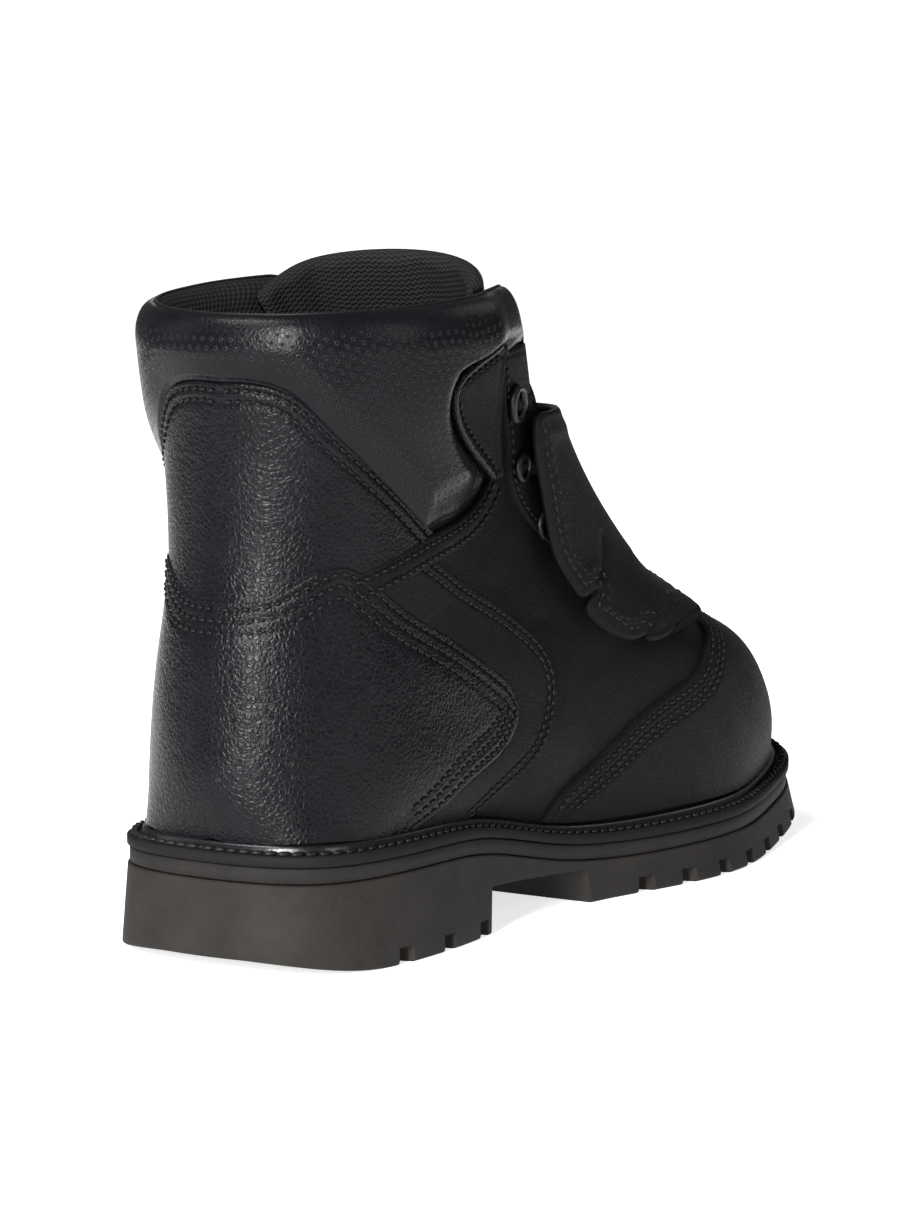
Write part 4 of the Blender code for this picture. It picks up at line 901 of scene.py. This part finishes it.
rings = []
for share, inset, height in section:
    spot = edge(turns, share * reach + inset)
    rings.append(placed(spot, sole_top(spot[:, 1]) + height))
polish, polish_strip = Nodes("welt leather"), Nodes("welt edge")
WELT = polish.finish((0.0050, 0.0053, 0.0062), polish.plus(0.18, polish.times(polish.noise(220.0), 0.2)),
                     polish.bump(polish.noise(500.0), 0.00012), coat=0.25, specular=0.35)
STRIP = polish_strip.finish((0.0085, 0.0079, 0.0075), 0.70, polish_strip.bump(polish_strip.noise(700.0), 0.0002),
                            specular=0.08)
show(sheet("welt_bead", np.stack(rings[4:]), WELT, flip=True), "welt", slot="welt leather")
show(sheet("welt_strip", np.stack(rings[:5]), STRIP, flip=True), slot="welt leather")
line = edge(np.linspace(0, 2, 4001)[:-1], 0.0020)
steps = run_lengths(line)
at = np.arange(0, steps[-1], 0.0040)
spot = interpolated(at, steps, line)
run = interpolated(at + 0.0008, steps, line) - spot
skew = run + 0.38 * np.stack((-run[:, 1], run[:, 0]), axis=1)
runs = np.concatenate((skew, np.zeros((len(skew), 1))), axis=1)
rope = Nodes("welt thread").finish((0.0045, 0.0045, 0.0050), 0.5, specular=0.2)
ropes = beads("welt_stitches", placed(spot, sole_top(spot[:, 1]) + 0.0005), runs, [(0.0, 0.0, 1.0)] * len(spot),
              0.0046, 0.0019, 0.0016, rope)
show(ropes, slot="welt leather")


# Midsole and outsole: moulded rubber, brownish gray, with a groove between its layers.
# The sides carry faint moulding waves and scuffs, and the tread's blocks are cut by slanting grooves.
def rubber(name, colour, grain):
    n = Nodes(name)
    cloud = n.ramp(n.noise(45.0, 6.0, 0.7), 0.3, 0.72)
    speck = n.noise(900.0, 2.0)
    scuff = n.ramp(n.noise(120.0, 8.0, 0.75), 0.55, 0.75)
    tone = n.mix(cloud, scaled(colour, 0.80), scaled(colour, 1.18))
    tone = n.mix(n.times(scuff, 0.25), tone, scaled(colour, 1.5))
    return n.finish(tone, n.plus(0.60, n.times(speck, 0.2)), n.bump(n.plus(speck, n.times(scuff, 0.4)), grain),
                    specular=0.13)


MIDSOLE = rubber("midsole rubber", (0.0135, 0.0123, 0.0114), 0.00015)
OUTSOLE = rubber("outsole rubber", (0.0158, 0.0142, 0.0129), 0.00018)
MID_TALL, MID_DOWN, MID_INSET = 0.0046, 0.0035, 0.0006
MID_SECTION = ((0.0040, 0.0), (0.0004, 0.0), (0.0, 0.0004), (0.0, 0.0041), (0.0004, MID_TALL), (0.0040, MID_TALL))
rings = []
for inset, height in MID_SECTION:
    spot = edge(turns, MID_INSET + inset)
    rings.append(placed(spot, sole_top(spot[:, 1]) - MID_DOWN - MID_TALL + height))
show(sheet("midsole_band", np.stack(rings), MIDSOLE), "midsole", slot="midsole rubber")


# Outsole: heel block, shank step and forefoot cut from one fine moulding.
# The grooves between the lugs slant back from the middle, as in the CAD.
HEEL_FRONT, SHANK_END, RIBS = 0.084, 0.146, 201
LUG_WIDE, LUG_TALL, LUG_SLANT = 0.0060, 0.0100, 0.26


def outsole_top(y):
    return sole_top(y) - 0.0032 - MID_TALL - 0.0006


def heel_low(y):
    return 0.0040 * np.clip(1 - y / 0.032, 0, 1) ** 2 + spring(y)


def flare(y):
    heel = 0.0018 * smooth((HEEL_FRONT * 1.3 - y) / (HEEL_FRONT * 0.5))
    return -(heel + 0.0024 * smooth((y - SHANK_END) / (LENGTH * 0.2)))


share = np.linspace(0, 1, RIBS)
around = np.concatenate((share, 2 - share[-2:0:-1]))
count = len(around)
rings = []
for up, inset, rise in ((0.0, 0.0010, 0.0), (0.0, 0.0003, 0.0003), (0.0, 0.0, 0.0010), (0.25, 0.0, 0.0010),
                        (0.5, 0.0, 0.0010), (0.75, 0.0, 0.0010), (1.0, 0.0, 0.0010)):
    spot = edge(around, flare(sole_curve(around)[:, 1]) * (1 - up) + inset)
    low = heel_low(spot[:, 1])
    rings.append(placed(spot, low + rise + (outsole_top(spot[:, 1]) - low - 0.0014) * up))
spot = edge(around, 0.0004)
rings.append(placed(spot, outsole_top(spot[:, 1])))
faces = grid(len(rings), count, close_columns=True).tolist()
for start, turn in ((0, -1), ((len(rings) - 1) * count, 1)):
    for i in range(RIBS - 1):
        corners = dict.fromkeys((i, i + 1, (count - i - 1) % count, (count - i) % count))
        faces.append([start + corner for corner in corners][::turn])
block = mesh_object("outsole_block", np.concatenate(rings), faces, OUTSOLE)
profile = ((HEEL_FRONT, -0.01), (0.0868, 0.0142), (0.140, 0.0107), (SHANK_END, -0.01))
corners = np.array([(x, y, z) for x in (-0.11, 0.11) for y, z in profile]) + SHIFT
cutters = [mesh_object("shank_cutter", corners, [(0, 1, 2, 3), (7, 6, 5, 4), (0, 4, 5, 1), (1, 5, 6, 2),
                                                 (2, 6, 7, 3), (3, 7, 4, 0)], OUTSOLE)]
corners, faces = [], []
for y in (*(0.0795 - 0.0220 * np.arange(3)), *np.arange(0.165, 0.300, 0.0185)):
    half = float(np.interp(y, lateral[:, 1], lateral[:, 0]))
    for side in (-1, 1):
        reach = 0.65 * half + 0.02
        box = np.array([(x, wide, tall) for x in (-0.5, 0.5) for wide in (-0.5, 0.5) for tall in (-0.5, 0.5)])
        box *= (reach, LUG_WIDE, LUG_TALL)
        box[box[:, 2] < 0, 1] *= 1.25
        slant = Matrix.Rotation(side * LUG_SLANT, 3, "Z")
        place = (side * (0.35 * half + reach / 2), y, float(spring(np.array(y))))
        start = len(corners)
        corners += [np.array(slant @ Vector(c)) + place + SHIFT for c in box]
        faces += [tuple(start + i for i in face) for face in
                  ((0, 1, 3, 2), (4, 6, 7, 5), (0, 4, 5, 1), (2, 3, 7, 6), (0, 2, 6, 4), (1, 5, 7, 3))]
cutters.append(mesh_object("lug_cutter", corners, faces, OUTSOLE))
for cutter in cutters:
    cut = block.modifiers.new("cut", "BOOLEAN")
    cut.operation, cut.solver, cut.object = "DIFFERENCE", "EXACT", cutter
graph = bpy.context.evaluated_depsgraph_get()
moulded = bpy.data.meshes.new_from_object(block.evaluated_get(graph), depsgraph=graph)
block.modifiers.clear()
block.data = moulded
moulded.set_sharp_from_angle(angle=math.radians(28))
for cutter in cutters:
    bpy.data.objects.remove(cutter)
show(block, "outsole", slot="outsole rubber")

# Insole in the knit finish, with its painted shade and painted light in the loops.
insole_finish = knit("insole fabric", (0.010, 0.010, 0.011))
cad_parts["insole"].data.materials.clear()
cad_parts["insole"].data.materials.append(insole_finish)


# All the stitches noted above, in one piece.
spots, runs, ups = (np.concatenate(parts) for parts in zip(*STITCHES))
stitches = beads("stitches", spots, runs, ups, 0.0026, 0.0011, 0.0012, THREAD, seed=3)
show(stitches, slot="matte leather")


# Studio: white floor that runs up behind, soft lights and the photograph's camera.
# The camera stands behind the heel on the outer side, low, with a long lens.
floor_nodes = Nodes("studio floor")
FLOOR = floor_nodes.finish((0.86, 0.86, 0.86), 0.7, specular=0.2)
floor_nodes.shader.inputs["Emission Color"].default_value = (1.0, 1.0, 1.0, 1.0)
floor_nodes.shader.inputs["Emission Strength"].default_value = 0.70
SWEEP = ((-0.75, 0.0, 0.75), (1.2, 0.0, 0.75), (2.4, 0.0, 0.62), (2.9, 0.05, 0.56), (3.2, 0.25, 0.56),
         (3.3, 0.9, 0.56))
view_turn, elevation = math.radians(31.4), math.radians(7.9)
ahead = np.array((-math.sin(view_turn), math.cos(view_turn)))
side = np.array((math.cos(view_turn), math.sin(view_turn)))
corners = [(*(ahead * far + side * wide * way), high) for far, high, wide in SWEEP for way in (-1, 1)]
floor = mesh_object("floor", corners, [(2 * i, 2 * i + 1, 2 * i + 3, 2 * i + 2) for i in range(len(SWEEP) - 1)], FLOOR)
world = bpy.data.worlds.new("studio")
bpy.context.scene.world = world
world.use_nodes = True
world.node_tree.nodes["Background"].inputs["Color"].default_value = (1.0, 1.0, 1.0, 1.0)
world.node_tree.nodes["Background"].inputs["Strength"].default_value = 0.10


def area_light(name, place, width, height, power):
    data = bpy.data.lights.new(name, "AREA")
    data.shape = "RECTANGLE"
    data.size, data.size_y, data.energy = width, height, power
    light = linked(name, data)
    light.location = place
    light.rotation_euler = (Vector((0, 0, 0.1)) - Vector(place)).to_track_quat("-Z", "Y").to_euler()


area_light("behind", (0.40, -2.20, 0.95), 0.30, 1.9, 135)
area_light("over", (-0.55, -0.75, 1.8), 0.7, 0.5, 20)
area_light("left", (-1.6, -0.9, 0.8), 0.6, 1.2, 2.5)
area_light("right", (1.9, -0.2, 0.9), 0.5, 1.2, 8)
area_light("front", (0.6, 2.0, 1.5), 1.2, 0.8, 3)

FOCAL_PIXELS, TALL_PIXELS, FILM = 4881.5, 1227.0, 36.0
right = np.array((math.cos(view_turn), math.sin(view_turn), 0.0))
toward = np.array((math.sin(view_turn) * math.cos(elevation), -math.cos(view_turn) * math.cos(elevation),
                   math.sin(elevation)))
aim = np.array((0.0, 0.150, 0.095)) + right * -0.0053 + np.array((0, 0, -0.0097)) + SHIFT
camera_data = bpy.data.cameras.new("camera")
camera_data.sensor_width = FILM
camera_data.lens = FOCAL_PIXELS * FILM / TALL_PIXELS
camera_data.clip_end = 50.0
camera = linked("camera", camera_data)
camera.location = aim + toward * 1.5133
facing = Matrix((right, np.cross(toward, right), toward)).transposed()
camera.rotation_euler = (facing @ Matrix.Rotation(math.radians(0.1), 3, "Z")).to_euler()
bpy.context.scene.camera = camera
bpy.context.scene.view_settings.view_transform = "Standard"
